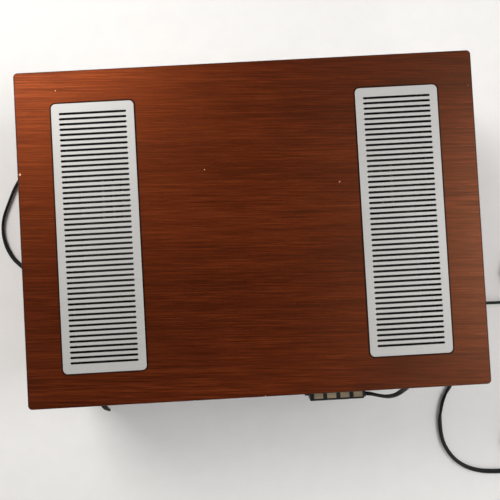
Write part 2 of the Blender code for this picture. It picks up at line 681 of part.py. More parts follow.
def make_knob(name, x, finish):
    radius, reach = knob_size(name)
    face = CASE_FRONT - reach
    back = PANEL_FRONT - KNOB_GAP
    bore_end = face + KNOB_WALL
    recess = back - KNOB_RECESS_DEPTH
    body = radius - KNOB_SKIRT_STEP
    skirt = back - KNOB_SKIRT
    profile = ((bore_end, 0), (bore_end, SHAFT_RADIUS + FIT), (recess, SHAFT_RADIUS + FIT),
               (recess, NUT_RADIUS + KNOB_GAP), (back, NUT_RADIUS + KNOB_GAP), (back, radius), (skirt, radius),
               (skirt, body), (face + KNOB_CHAMFER, body), (face, body - KNOB_CHAMFER), (face, 0))
    pointer = block((x - POINTER_WIDTH * HALF, face - OVERRUN, KNOB_ROW + body * POINTER_INNER_SHARE),
                    (x + POINTER_WIDTH * HALF, face + POINTER_DEPTH, KNOB_ROW + radius + OVERRUN))
    piece(name + "_knob", lathe("y", x, KNOB_ROW, profile, FINE_SIDES), finish, cuts=([pointer],),
          origin=(x, face, KNOB_ROW))
    return bore_end


def make_control(name, x, finish, shaft_finish, shaft_end):
    """A potentiometer or a rotary switch, with its bush and nut, and the shaft that turns in it."""
    is_switch = name == "selector"
    radius = SWITCH_RADIUS if is_switch else POT_RADIUS
    depth = SWITCH_DEPTH if is_switch else POT_DEPTH
    front = PANEL_FRONT - BUSH_PROUD
    body = WALL_BACK + FIT
    bore_end = body + POT_BORE_DEPTH
    nut_back = PANEL_FRONT - FIT
    nut_front = nut_back - NUT_THICKNESS
    bore = SHAFT_RADIUS + FIT
    profile = ((bore_end, 0), (bore_end, bore), (front, bore), (front, BUSH_RADIUS), (nut_front, BUSH_RADIUS),
               (nut_front, NUT_RADIUS), (nut_back, NUT_RADIUS), (nut_back, BUSH_RADIUS), (body, BUSH_RADIUS),
               (body, radius), (body + depth, radius), (body + depth, 0))
    suffix = "_switch" if is_switch else "_potentiometer"
    piece(name + suffix, lathe("y", x, KNOB_ROW, profile), finish)
    shaft = rod("y", x, KNOB_ROW, shaft_end + FIT, bore_end - FIT, SHAFT_RADIUS)
    piece(name + "_shaft", shaft, shaft_finish, origin=(x, shaft_end + FIT, KNOB_ROW))


def make_controls(finishes):
    for name, x in knob_places().items():
        bore_end = make_knob(name, x, finishes["knob"])
        make_control(name, x, finishes["steel"], finishes["brass"], bore_end)


# Push buttons and switch bank

def make_button(name, x, finish):
    face = PANEL_FRONT - BUTTON_PROUD
    base = around(x, BUTTON_ROW, BUTTON_WIDTH, BUTTON_HEIGHT, face, WALL_BACK)
    stem = around(x, BUTTON_ROW, STEM_WIDTH, STEM_HEIGHT, WALL_BACK - SINK, WALL_BACK + STEM_LENGTH)
    piece(name + "_button", base, finish, joined=([stem],), origin=(x, face, BUTTON_ROW))


def make_switch_bank(finish):
    places = list(button_places().values())
    front = WALL_BACK + FIT
    half_width = BUTTON_WIDTH * HALF + BUTTON_SLACK + BANK_MARGIN
    half_height = BUTTON_HEIGHT * HALF + BUTTON_SLACK + BANK_MARGIN
    base = block((places[0] - half_width, front, BUTTON_ROW - half_height),
                 (places[-1] + half_width, front + BANK_DEPTH, BUTTON_ROW + half_height))
    pocket_end = WALL_BACK + BUTTON_TRAVEL + BUTTON_STOP_GAP
    stem_end = WALL_BACK + STEM_LENGTH + BUTTON_TRAVEL + BUTTON_STOP_GAP
    pockets = [around(x, BUTTON_ROW, BUTTON_WIDTH + 2 * BUTTON_SLACK, BUTTON_HEIGHT + 2 * BUTTON_SLACK,
                      front - OVERRUN, pocket_end) for x in places]
    bores = [around(x, BUTTON_ROW, STEM_WIDTH + 2 * FIT, STEM_HEIGHT + 2 * FIT, pocket_end - SINK, stem_end)
             for x in places]
    piece("switch_bank", base, finish, cuts=(pockets, bores))


def make_buttons(finishes):
    for name, x in button_places().items():
        make_button(name, x, finishes["knob"])
    make_switch_bank(finishes["black_plastic"])


def make_headphone_socket(finish):
    ring_front = PANEL_FRONT - FIT - JACK_RING_THICKNESS
    body = WALL_BACK + FIT
    bore_end = PANEL_FRONT + JACK_BORE_DEPTH
    profile = ((bore_end, 0), (bore_end, JACK_BORE_RADIUS), (ring_front, JACK_BORE_RADIUS),
               (ring_front, JACK_RING_RADIUS), (PANEL_FRONT - FIT, JACK_RING_RADIUS),
               (PANEL_FRONT - FIT, JACK_BARREL_RADIUS), (body, JACK_BARREL_RADIUS), (body, JACK_BODY_RADIUS),
               (body + JACK_BODY_DEPTH, JACK_BODY_RADIUS), (body + JACK_BODY_DEPTH, 0))
    piece("headphone_socket", lathe("y", panel_x(JACK_SHARE), BUTTON_ROW, profile), finish)


def make_pilot_lamp(finish):
    flange = PANEL_FRONT - FIT
    front = flange - LAMP_FLANGE
    body = WALL_BACK + FIT
    profile = ((front - LAMP_DOME, 0), (front - LAMP_DOME * HALF, LAMP_RADIUS * HALF * math.sqrt(3)),
               (front, LAMP_RADIUS), (front, LAMP_BODY_RADIUS), (flange, LAMP_BODY_RADIUS),
               (flange, LAMP_RADIUS), (body, LAMP_RADIUS), (body, LAMP_BODY_RADIUS),
               (body + LAMP_BODY_DEPTH, LAMP_BODY_RADIUS), (body + LAMP_BODY_DEPTH, 0))
    piece("pilot_lamp", lathe("y", panel_x(LAMP_SHARE), BUTTON_ROW, profile), finish)


# Rear: terminal block with levers, sockets, earth nut, fuse and gland

def make_terminal_block(finish):
    half = TERMINAL_WIDTH * HALF
    base = block((TERMINAL_X - half, BLOCK_FRONT, BLOCK_TOP - TERMINAL_HEIGHT),
                 (TERMINAL_X + half, BLOCK_REAR, BLOCK_TOP))
    entry = rod("x", ENTRY_Y, ENTRY_Z, ENTRY_END, TERMINAL_X - half + SINK, ENTRY_RADIUS, SMALL_SIDES)
    ear = block((TERMINAL_X + half - SINK, BLOCK_FRONT, BLOCK_TOP - EAR_DROP - EAR_HEIGHT),
                (TERMINAL_X + half + EAR_LENGTH, BLOCK_REAR - EAR_INSET, BLOCK_TOP - EAR_DROP))
    pocket_rear = BLOCK_REAR - POCKET_RIM
    half_pocket = LEVER_WIDTH * HALF + LEVER_SIDE_GAP
    pockets = [block((x - half_pocket, pocket_rear - POCKET_LENGTH, BLOCK_TOP - POCKET_DEPTH),
                     (x + half_pocket, pocket_rear, BLOCK_TOP + OVERRUN)) for x in lever_places()]
    wires = [rod("y", x, BLOCK_TOP - WIRE_HOLE_DROP, BLOCK_REAR - WIRE_HOLE_DEPTH, BLOCK_REAR + OVERRUN,
                 WIRE_HOLE_RADIUS, SMALL_SIDES) for x in lever_places()]
    piece("terminal_block", base, finish, joined=([entry, ear],), cuts=(pockets + wires,))


def make_levers(finish):
    inner = BLOCK_REAR - POCKET_RIM - POCKET_LENGTH + LEVER_INNER_GAP
    outer = BLOCK_REAR - POCKET_RIM - LEVER_OUTER_GAP
    top = BLOCK_TOP + LEVER_PROUD
    pivot = (inner + LEVER_PIVOT_INSET, top - LEVER_THICKNESS * HALF)
    for number, x in enumerate(lever_places(), start=1):
        base = block((x - LEVER_WIDTH * HALF, inner, top - LEVER_THICKNESS), (x + LEVER_WIDTH * HALF, outer, top))
        piece(f"terminal_lever_{number}", base, finish, origin=(x, *pivot))


def make_socket_board(finish):
    places = socket_places()
    margin = SOCKET_RADIUS + SOCKET_BOARD_MARGIN
    xs = [x for x, z in places]
    zs = [z for x, z in places]
    back = REAR_INNER - FIT
    base = block((min(xs) - margin, back - CIRCUIT_BOARD, min(zs) - margin), (max(xs) + margin, back, max(zs) + margin))
    tip = REAR_FACE + SOCKET_REACH
    sockets = [rod("y", x, z, back - SINK, tip, SOCKET_RADIUS, SMALL_SIDES) for x, z in places]
    holes = [rod("y", x, z, tip - SOCKET_HOLE_DEPTH, tip + OVERRUN, SOCKET_HOLE_RADIUS, SMALL_SIDES)
             for x, z in places]
    piece("phono_socket_board", base, finish, joined=(sockets,), cuts=(holes,))


def make_earth_nut(finish):
    y0 = REAR_FACE + FIT
    y1 = y0 + EARTH_NUT_LENGTH
    z = CASE_BOTTOM + EARTH_HEIGHT
    hole = rod("y", EARTH_X, z, y0 - OVERRUN, y1 + OVERRUN, EARTH_STUD_RADIUS + FIT, SMALL_SIDES)
    piece("earth_nut", rod("y", EARTH_X, z, y0, y1, EARTH_NUT_RADIUS), finish, cuts=([hole],),
          origin=(EARTH_X, y0, z))


def make_fuse(finish, cap_finish):
    z = CASE_BOTTOM + FUSE_HEIGHT
    flange = REAR_FACE + FIT
    rim = flange + FUSE_FLANGE
    inside = REAR_INNER - FIT
    bore_end = rim - FUSE_BORE_DEPTH
    profile = ((bore_end, 0), (bore_end, FUSE_BORE_RADIUS), (rim, FUSE_BORE_RADIUS), (rim, FUSE_FLANGE_RADIUS),
               (flange, FUSE_FLANGE_RADIUS), (flange, FUSE_BARREL_RADIUS), (inside - FUSE_BODY_DEPTH, FUSE_BARREL_RADIUS),
               (inside - FUSE_BODY_DEPTH, 0))
    piece("fuse_holder", lathe("y", FUSE_X, z, profile), finish)
    cap = rim + FIT
    stem = FUSE_BORE_RADIUS - FIT
    profile = ((cap - FUSE_CAP_STEM, 0), (cap - FUSE_CAP_STEM, stem), (cap, stem), (cap, FUSE_CAP_RADIUS),
               (cap + FUSE_CAP_LENGTH - KNOB_CHAMFER, FUSE_CAP_RADIUS),
               (cap + FUSE_CAP_LENGTH, FUSE_CAP_RADIUS - KNOB_CHAMFER), (cap + FUSE_CAP_LENGTH, 0))
    slot = around(FUSE_X, z, 2 * FUSE_CAP_RADIUS * HALF, POINTER_WIDTH, cap + FUSE_CAP_LENGTH - POINTER_WIDTH,
                  cap + FUSE_CAP_LENGTH + OVERRUN)
    piece("fuse_cap", lathe("y", FUSE_X, z, profile), cap_finish, cuts=([slot],), origin=(FUSE_X, cap, z))


def make_gland(finish):
    tip = REAR_FACE + GLAND_REACH
    inside = REAR_INNER - FIT
    flange = REAR_FACE + FIT
    profile = ((inside - GLAND_INNER, 0), (inside - GLAND_INNER, GLAND_FLANGE_RADIUS), (inside, GLAND_FLANGE_RADIUS),
               (inside, GLAND_NECK_RADIUS), (flange, GLAND_NECK_RADIUS), (flange, GLAND_FLANGE_RADIUS),
               (flange + GLAND_FLANGE, GLAND_FLANGE_RADIUS), (tip, GLAND_TIP_RADIUS), (tip, 0))
    piece("mains_gland", lathe("y", GLAND_X, GLAND_Z, profile), finish)


# Inside: transformer, capacitors, heat sink and boards

def make_transformer(finish, winding_finish):
    x = CORE_X
    y = CORE_Y
    low = TRAY_FLOOR + FIT
    high = low + CORE_HEIGHT
    half = CORE_WIDTH * HALF
    y0 = y - CORE_STACK * HALF
    y1 = y + CORE_STACK * HALF
    windows = []
    for side in (-1, 1):
        edges = sorted((x + side * CORE_LIMB, x + side * (half - CORE_LIMB)))
        windows.append(block((edges[0], y0 - OVERRUN, low + CORE_LIMB), (edges[1], y1 + OVERRUN, high - CORE_LIMB)))
    piece("transformer_core", block((x - half, y0, low), (x + half, y1, high)), finish, cuts=(windows,))
    reach_x = half - CORE_LIMB - WINDING_CLEARANCE
    reach_y = CORE_STACK * HALF + WINDING_BULGE
    z0 = low + CORE_LIMB + WINDING_CLEARANCE
    z1 = high - CORE_LIMB - WINDING_CLEARANCE
    hole_x = CORE_LIMB + WINDING_CLEARANCE
    hole_y = CORE_STACK * HALF + WINDING_CLEARANCE
    hole = block((x - hole_x, y - hole_y, z0 - OVERRUN), (x + hole_x, y + hole_y, z1 + OVERRUN))
    corner = WINDING_BULGE * HALF
    outline = rounded(x - reach_x, y - reach_y, x + reach_x, y + reach_y, (corner,) * 4)
    piece("transformer_winding", prism("z", outline, z0, z1), winding_finish, cuts=([hole],))


def make_capacitors(finish, base_finish):
    y = CAP_Y
    low = TRAY_FLOOR + FIT
    places = {"capacitor_left": CAP_X - CAP_SPACING * HALF, "capacitor_right": CAP_X + CAP_SPACING * HALF}
    top = low + CAP_HEIGHT
    groove = top - CAP_GROOVE_DROP
    for name, x in places.items():
        profile = ((low, 0), (low, CAP_RADIUS), (groove - CAP_GROOVE, CAP_RADIUS), (groove, CAP_RADIUS - CAP_GROOVE),
                   (groove + CAP_GROOVE, CAP_RADIUS), (top - CAP_GROOVE, CAP_RADIUS), (top, CAP_RADIUS - CAP_GROOVE),
                   (top, 0))
        piece(name, lathe("z", x, y, profile), finish)
    half = CAP_SPACING * HALF + CAP_REACH
    outline = rounded(CAP_X - half, y - CAP_REACH, CAP_X + half, y + CAP_REACH, (CAP_REACH * HALF,) * 4)
    bores = [rod("z", x, y, low - OVERRUN, low + CAP_BASE_HEIGHT + OVERRUN, CAP_RADIUS + FIT) for x in places.values()]
    piece("capacitor_base", prism("z", outline, low, low + CAP_BASE_HEIGHT), base_finish, cuts=(bores,))


def make_heat_sink(finish):
    x = case_x(SINK_X_SHARE)
    y0 = case_y(SINK_Y_SHARE) - SINK_LENGTH * HALF
    back = x - SINK_BASE
    tip = back - SINK_FIN_REACH
    gap = (SINK_LENGTH - SINK_FIN) / (SINK_FIN_COUNT - 1)
    outline = [(x, y0 + SINK_LENGTH), (x, y0)]
    for k in range(SINK_FIN_COUNT):
        y = y0 + gap * k
        outline += [(back, y)] * (k > 0) + [(tip, y), (tip, y + SINK_FIN)] + [(back, y + SINK_FIN)] * (k < SINK_FIN_COUNT - 1)
    low = TRAY_FLOOR + FIT
    piece("heat_sink", prism("z", outline, low, low + SINK_HEIGHT), finish)


def make_transistors(finish):
    x = case_x(SINK_X_SHARE) + FIT
    y = case_y(SINK_Y_SHARE)
    z = TRAY_FLOOR + SINK_HEIGHT * TRANSISTOR_HEIGHT_SHARE
    half_length = TRANSISTOR_LENGTH * HALF
    half_width = TRANSISTOR_WIDTH * HALF
    for name, side in (("transistor_left", -1), ("transistor_right", 1)):
        v = y + side * TRANSISTOR_SPACING * HALF
        outline = ((v - half_length, z - half_width * THIRD), (v - half_length * THIRD, z - half_width),
                   (v + half_length * THIRD, z - half_width), (v + half_length, z - half_width * THIRD),
                   (v + half_length, z + half_width * THIRD), (v + half_length * THIRD, z + half_width),
                   (v - half_length * THIRD, z + half_width), (v - half_length, z + half_width * THIRD))
        can = rod("x", v, z, x + TRANSISTOR_PLATE * HALF, x + TRANSISTOR_CAN_HEIGHT, TRANSISTOR_CAN_RADIUS)
        piece(name, prism("x", outline, x, x + TRANSISTOR_PLATE), finish, joined=([can],))


def make_board(name, place, size, resistors, capacitors, finish):
    """A circuit board on four spacers, with resistors and capacitors at shares of its size."""
    x, y = place
    width, length = size
    spacer_low = TRAY_FLOOR + FIT
    low = spacer_low + BOARD_SPACER
    high = low + CIRCUIT_BOARD
    base = block((x - width * HALF, y - length * HALF, low), (x + width * HALF, y + length * HALF, high))
    parts = []
    for side_x in (-1, 1):
        for side_y in (-1, 1):
            parts.append(rod("z", x + side_x * (width * HALF - BOARD_SPACER_INSET),
                             y + side_y * (length * HALF - BOARD_SPACER_INSET), spacer_low, low + SINK,
                             BOARD_SPACER_RADIUS, SMALL_SIDES))
    for u, v in resistors:
        cx = x + u * width
        cy = y + v * length
        parts.append(block((cx - RESISTOR_LENGTH * HALF, cy - RESISTOR_WIDTH * HALF, high - SINK),
                           (cx + RESISTOR_LENGTH * HALF, cy + RESISTOR_WIDTH * HALF, high + RESISTOR_WIDTH)))
    for u, v in capacitors:
        parts.append(rod("z", x + u * width, y + v * length, high - SINK, high + SMALL_CAP_HEIGHT, SMALL_CAP_RADIUS,
                         SMALL_SIDES))
    piece(name, base, finish, joined=(parts,))


def make_boards(finish):
    make_board("output_amplifier_board", (case_x(OUTPUT_BOARD_X_SHARE), OUTPUT_BOARD_Y),
               (OUTPUT_BOARD_WIDTH, OUTPUT_BOARD_LENGTH), OUTPUT_RESISTOR_SHARES, OUTPUT_CAP_SHARES, finish)
    make_board("tone_control_board", (case_x(TONE_BOARD_X_SHARE), TONE_BOARD_Y),
               (TONE_BOARD_WIDTH, TONE_BOARD_LENGTH), TONE_RESISTOR_SHARES, TONE_CAP_SHARES, finish)


# Cords

def smooth_route(points, step):
    """Points about one step apart on a smooth curve through the given ones."""
    knots = [Vector(p) for p in points]
    knots = [2 * knots[0] - knots[1]] + knots + [2 * knots[-1] - knots[-2]]
    fine = []
    parts = 12
    for a, b, c, d in zip(knots, knots[1:], knots[2:], knots[3:]):
        for k in range(parts):
            t = k / parts
            fine.append(HALF * (2 * b + (c - a) * t + (2 * a - 5 * b + 4 * c - d) * t ** 2
                                + (3 * b - a - 3 * c + d) * t ** 3))
    fine.append(knots[-2])
    lengths = [0.0]
    for a, b in zip(fine, fine[1:]):
        lengths.append(lengths[-1] + (b - a).length)
    count = max(2, int(round(lengths[-1] / step)))
    result = []
    place = 0
    for k in range(count + 1):
        target = lengths[-1] * k / count
        while place < len(fine) - 2 and lengths[place + 1] < target:
            place += 1
        span = lengths[place + 1] - lengths[place]
        result.append(fine[place].lerp(fine[place + 1], (target - lengths[place]) / span))
    return result


def ease(t):
    t = min(max(t, 0.0), 1.0)
    return t * t * (3 - 2 * t)


def coil_route(start, radius, turns, end_height):
    """A coil in two layers that a cord enters along -X at start: in, up a layer, and out again.

    Its last quarter turn swings clear of the other turns and comes level with end_height.
    """
    pitch = CORD_WIDTH + COIL_GAP
    centre = Vector((start.x - COIL_LEAD_IN, start.y - radius, 0))
    steps = COIL_POINTS_PER_TURN
    half = steps // 2
    quarter = steps // 4
    layer = int(round(turns * steps))
    points = [start, start + Vector((-COIL_LEAD_IN * HALF, 0, 0))]
    for k in range(2 * layer + half + quarter + 1):
        turned = k / steps
        inward = min(turned, turns + 1 / 4) - max(0.0, min(turned, 2 * turns + 1 / 2) - turns - 1 / 4)
        climb = ease((k - layer) / half) * pitch
        leaving = (k - 2 * layer - half) / quarter
        reach = radius - pitch * inward + COIL_EXIT_STEP * ease(2 * leaving)
        height = start.z + climb
        height += (end_height - height) * ease(2 * leaving - 1)
        angle = HALF * math.pi + 2 * math.pi * turned
        points.append(centre + Vector((reach * math.cos(angle), reach * math.sin(angle), height)))
    points.append(points[-1] + Vector((0, -COIL_EXIT_RUN, 0)))
    return points


def least_gap(points, width):
    """The least gap that a tube leaves to itself, measured between its points."""
    least = math.inf
    reach = COIL_POINTS_PER_TURN // 3
    for i, a in enumerate(points):
        for b in points[i + reach:]:
            least = min(least, (a - b).length - width)
    return least


def route_length(points):
    return sum((b - a).length for a, b in zip(points, points[1:]))


def make_tube(name, points, finish, resolution):
    curve = bpy.data.curves.new(name, "CURVE")
    curve.dimensions = "3D"
    curve.bevel_depth = CORD_RADIUS
    curve.bevel_resolution = resolution
    curve.use_fill_caps = True
    spline = curve.splines.new("POLY")
    spline.points.add(len(points) - 1)
    for target, point in zip(spline.points, points):
        target.co = (*point, 1.0)
    curve.materials.append(finish)
    bpy.context.collection.objects.link(bpy.data.objects.new(name, curve))


def make_cord(names, route, radius, turns, end_height, finish):
    """A cord's free run and its coil. Gives the place where the coil ends, towards -Y."""
    run = smooth_route(route, CORD_STEP_DIAMETERS * CORD_WIDTH)
    run.insert(1, run[0].lerp(Vector(route[1]), HALF))
    start = run[-1] + Vector((-FIT, 0, 0))
    coil = coil_route(start, radius, turns, end_height)
    make_tube(names[0], run, finish, CORD_RESOLUTION)
    make_tube(names[1], coil, finish, COIL_RESOLUTION)
    print(names[1], "least gap to itself:", round(least_gap(coil, CORD_WIDTH), 5), "m")
    print(names[0], "with its coil:", round(route_length(run) + route_length(coil), 3), "m")
    return coil[-1]


def make_mains_plug(end, finish):
    y0 = end.y - FIT
    face = y0 - PLUG_LENGTH
    shoulder = y0 - PLUG_LENGTH * PLUG_SHOULDER_SHARE
    outline = ((end.x - PLUG_ENTRY_WIDTH * HALF, y0), (end.x - PLUG_SHOULDER_WIDTH * HALF, shoulder),
               (end.x - PLUG_FACE_WIDTH * HALF, face), (end.x + PLUG_FACE_WIDTH * HALF, face),
               (end.x + PLUG_SHOULDER_WIDTH * HALF, shoulder), (end.x + PLUG_ENTRY_WIDTH * HALF, y0))
    base = prism("z", outline, CORD_FLOOR_GAP, CORD_FLOOR_GAP + PLUG_THICKNESS)
    pins = [rod("y", end.x + side * PLUG_PIN_SPACING * HALF, end.z, face - PLUG_PIN_LENGTH, face + SINK,
                PLUG_PIN_RADIUS, SMALL_SIDES) for side in (-1, 1)]
    piece("mains_plug", base, finish, joined=(pins,))


def make_speaker_plug(end, finish):
    y0 = end.y - FIT
    face = y0 - DIN_LENGTH
    neck = y0 - DIN_LENGTH * DIN_NECK_SHARE
    profile = ((y0, 0), (y0, DIN_NECK_RADIUS), (neck, DIN_RADIUS), (face, DIN_RADIUS), (face, 0))
    half = DIN_PIN_SPACING * HALF
    pin = rod("y", end.x - half, end.z, face - DIN_PIN_LENGTH, face + SINK, DIN_PIN_RADIUS, SMALL_SIDES)
    blade = around(end.x + half, end.z, DIN_BLADE_THICKNESS, DIN_BLADE_WIDTH, face - DIN_PIN_LENGTH, face + SINK)
    piece("speaker_plug", lathe("y", end.x, end.z, profile), finish, joined=([pin, blade],))


def make_cords(finish, plug_finish):
    plug_height = CORD_FLOOR_GAP + PLUG_THICKNESS * HALF
    end = make_cord(("mains_cord", "mains_coil"), MAINS_ROUTE, MAINS_COIL_RADIUS, MAINS_COIL_TURNS, plug_height,
                    finish)
    make_mains_plug(end, plug_finish)
    din_height = CORD_FLOOR_GAP + DIN_RADIUS
    end = make_cord(("speaker_lead", "speaker_lead_coil"), LEAD_ROUTE, LEAD_COIL_RADIUS, LEAD_COIL_TURNS, din_height,
                    finish)
    make_speaker_plug(end, plug_finish)


def main():
    clear_scene()
    finishes = make_finishes()
    make_wood_top(finishes["wood"])
    make_wood_side("wood_side_left", -1, finishes["wood"])
    make_wood_side("wood_side_right", 1, finishes["wood"])
    make_grille("grille_left", -1, finishes["grille"])
    make_grille("grille_right", 1, finishes["grille"])
    make_front_panel(finishes["panel"])
    make_chassis_tray(finishes["steel"])
    make_rear_panel(finishes["black_paint"])
    make_feet(finishes["rubber"])
    make_controls(finishes)
    make_buttons(finishes)
    make_headphone_socket(finishes["black_plastic"])
    make_pilot_lamp(finishes["lamp"])
    make_terminal_block(finishes["black_plastic"])
    make_levers(finishes["pale_plastic"])
    make_socket_board(finishes["board"])
    make_earth_nut(finishes["brass"])
    make_fuse(finishes["black_plastic"], finishes["black_plastic"])
    make_gland(finishes["rubber"])
    make_transformer(finishes["steel"], finishes["copper"])
    make_capacitors(finishes["capacitor"], finishes["black_plastic"])
    make_heat_sink(finishes["black_paint"])
    make_transistors(finishes["steel"])
    make_boards(finishes["board"])
    make_cords(finishes["flex"], finishes["black_plastic"])


main()
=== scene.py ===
"""Looks of an integrated amplifier in a wooden case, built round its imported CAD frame.

Metres, +Z up. The front faces -Y and the rear +Y, as in the CAD model. Every piece is made in
its place, so its object sits at the origin and object coordinates are the model's own.
"""
import random
from math import acos, cos, dist, pi, radians, sin

import bmesh
import bpy
from mathutils import Matrix, Vector

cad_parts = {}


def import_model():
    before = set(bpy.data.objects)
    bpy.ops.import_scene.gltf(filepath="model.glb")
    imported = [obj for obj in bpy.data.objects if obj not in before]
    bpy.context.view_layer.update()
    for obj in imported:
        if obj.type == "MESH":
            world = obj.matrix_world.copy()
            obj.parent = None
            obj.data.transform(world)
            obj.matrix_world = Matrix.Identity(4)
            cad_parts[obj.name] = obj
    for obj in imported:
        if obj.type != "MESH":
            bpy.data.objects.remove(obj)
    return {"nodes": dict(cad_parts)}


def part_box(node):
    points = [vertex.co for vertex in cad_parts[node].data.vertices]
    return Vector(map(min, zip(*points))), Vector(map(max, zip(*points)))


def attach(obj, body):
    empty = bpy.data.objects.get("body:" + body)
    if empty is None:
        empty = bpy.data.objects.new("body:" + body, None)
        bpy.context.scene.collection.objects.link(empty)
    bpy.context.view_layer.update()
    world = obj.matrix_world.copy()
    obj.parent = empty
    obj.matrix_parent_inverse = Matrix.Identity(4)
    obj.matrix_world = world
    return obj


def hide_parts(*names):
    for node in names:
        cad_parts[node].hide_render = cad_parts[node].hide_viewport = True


SEED = 11
HALF = 0.5
QUARTER = 0.25
FULL_TURN = 2 * pi
QUARTER_TURN = pi / 2
X, Y, Z = range(3)
# Some tables below are in units of 0.1 mm
UNITS_PER_METRE = 10000
# Fine sizes, from the smallest gap or overlap to the broadest chamfer
FINE, THIN, EASED, LIP, SOFT, BROAD = 0.0001, 0.0002, 0.0003, 0.0004, 0.0005, 0.0008
# A radius too small to see, how near points may be and still be one, and the least angle of a bevel
TINY = 0.00005
WELD = 0.000001
BEVEL_ANGLE = radians(35)

# Camera, as the photograph's: above the case, turned a little
CAMERA_PLACE = (0.00662, 0.03022, 0.61366)
CAMERA_TURN = (1.198, -0.428, 176.854)
CAMERA_LENS = 36.0
CAMERA_SENSOR = 36.0
CAMERA_CLIP = (0.01, 50.0)

# Floor, world and lamps: place, aim, side, watts, colour
FLOOR_SIDE = 9.0
FLOOR_DEPTH = 0.01
LAMPS = {
    "key": ((0.62, -0.68, 0.95), (0.05, -0.04, 0.1), 0.66, 10.7, (1.0, 0.985, 0.96)),
    "fill": ((-1.25, 0.0, 1.3), (-0.1, 0.0, 0.08), 0.9, 12.6, (0.985, 0.985, 1.0)),
    "rear": ((-0.7, 1.2, 1.0), (-0.2, 0.15, 0.0), 0.9, 3.2, (1.0, 0.985, 0.97)),
}
ZENITH = (0.18, 0.18, 0.185)
HORIZON = (1.0, 1.0, 1.0)
SKY_BAND = (0.05, 0.8)

# Case and grilles. A face whose normal has more of X than SIDEWAYS looks sideways
CASE_WIDTH = 0.436
CASE_FRONT = -0.159
CASE_REAR = 0.159
CASE_BOTTOM = 0.012
CASE_TOP = 0.142
BOARD_UNDERSIDE = 0.126
BOARD_WIDTH = 0.016
BOARD_FIT = 0.0003
BOARD_EDGE = 0.0008
CASE_CORNER = 0.004
SIDE_CORNER = 0.0022
EDGE_ROUND = 0.0011
SIDEWAYS = 0.7
GRILLE_X = 0.14425
GRILLE_WIDTH = 0.0785
GRILLE_HALF_LENGTH = 0.1275
GRILLE_CORNER = 0.0045
GRILLE_TOP = 0.1425
GRILLE_SHEET = 0.003
GRILLE_SLACK = 0.0006
GRILLE_LEDGE = 0.004
GRILLE_ROUND = 0.0006
SLOT_COUNT = 48
SLOT_PITCH = 0.005
SLOT_WIDTH = 0.00215
SLOT_LENGTH = 0.0636
SLOT_CORNER = SLOT_WIDTH * 0.42
SLOT_LIP = 0.00008

# Wear on the top: places in the plan view and sizes
CHIPS = (((0.1784, -0.1401), 0.0008), ((0.0415, -0.0577), 0.0007), ((-0.0859, -0.0394), 0.0009),
         ((-0.0044, 0.1583), 0.0008), ((0.2154, -0.0622), 0.0013), ((-0.2135, -0.125), 0.0006))
GRAIN_TURN = radians(2.4)

# Front panel: holes, marks and what comes through
HOLE_EDGE = 0.0003
BUSH_HOLE = 0.0048
PANEL_CORNER = 0.0008
BUTTONS = ("power", "mono", "loudness", "filter")
BUTTON_SLACK = 0.0004
BUTTON_CORNER = 0.0009
BUTTON_ROUND = 0.0007
BUTTON_DISH = 0.0003
BUTTON_LAND = 0.0012
STEM_LENGTH = 0.01
STEM_SIZE = (0.005, 0.004)
MARK_HEIGHT = 0.00016
TICK_WIDTH = 0.0004
TICK_LENGTH = 0.0022
TICK_GAP = 0.0016
FIGURE_SIZE = 0.0042
FIGURE_GAP = 0.0068
DIAL_TURN = 300.0
SELECTOR_TURN = 120.0
KNOBS = {"selector": 0.018, "bass": 0.015, "treble": 0.015, "balance": 0.015, "volume": 0.022}
KNOB_WALL = 0.003
KNOB_RECESS = 0.005
KNOB_SKIRT = 0.0018
KNOB_STEP = 0.0015
KNOB_CHAMFER = 0.0012
KNOB_LAND = 0.0032
KNOB_DISH = 0.0004
KNOB_SIDES = 240
KNOB_FLUTES = 60
FLUTE_DEPTH = 0.00035
NUT_ROOM = 0.008
SHAFT_HOLE = 0.0033
POINTER_WIDTH = 0.0014
POINTER_DEPTH = 0.0008
POINTER_INNER_SHARE = 0.45
JACK_HOLE = 0.0051
JACK_BARREL = 0.0046
JACK_BORE = 0.0033
JACK_BORE_DEPTH = 0.0224
JACK_SHOULDER = 0.0018
JACK_NUT = 0.0068
JACK_CHAMFER = 0.0006
LAMP_HOLE = 0.0035
LAMP_RADIUS = 0.0032
LAMP_BEZEL = 0.0046
LAMP_RISE = 0.0012
LAMP_BODY = 0.01
LAMP_SHOULDER = 0.001
LAMP_CHAMFER = 0.0007
LAMP_STEPS = 7

# Rear panel and its fittings
SOCKET_X = (-0.033, -0.011, 0.011, 0.033)
SOCKET_Z = (-0.009, 0.009)
SOCKET_RADIUS = 0.0041
SOCKET_WALL = 0.0006
SOCKET_EDGE_SHARE = 0.4
SOCKET_MOUTH = 0.0011
SOCKET_HOLE = 0.0016
SOCKET_HOLE_DEPTH = 0.007
SOCKET_CLEARANCE = 0.0004
SOCKET_FIGURE_RISE = 0.0105
LEVER_FIGURE_Z = 0.0805
CIRCUIT_BOARD = 0.0016
GLAND_HOLE = 0.0058
GLAND_FLANGE = 0.004
GLAND_TIP = 0.0036
GLAND_SLOPE = 0.002
GLAND_BARB = 0.0006
GLAND_STEP = 0.0012
GLAND_RIBS = 6
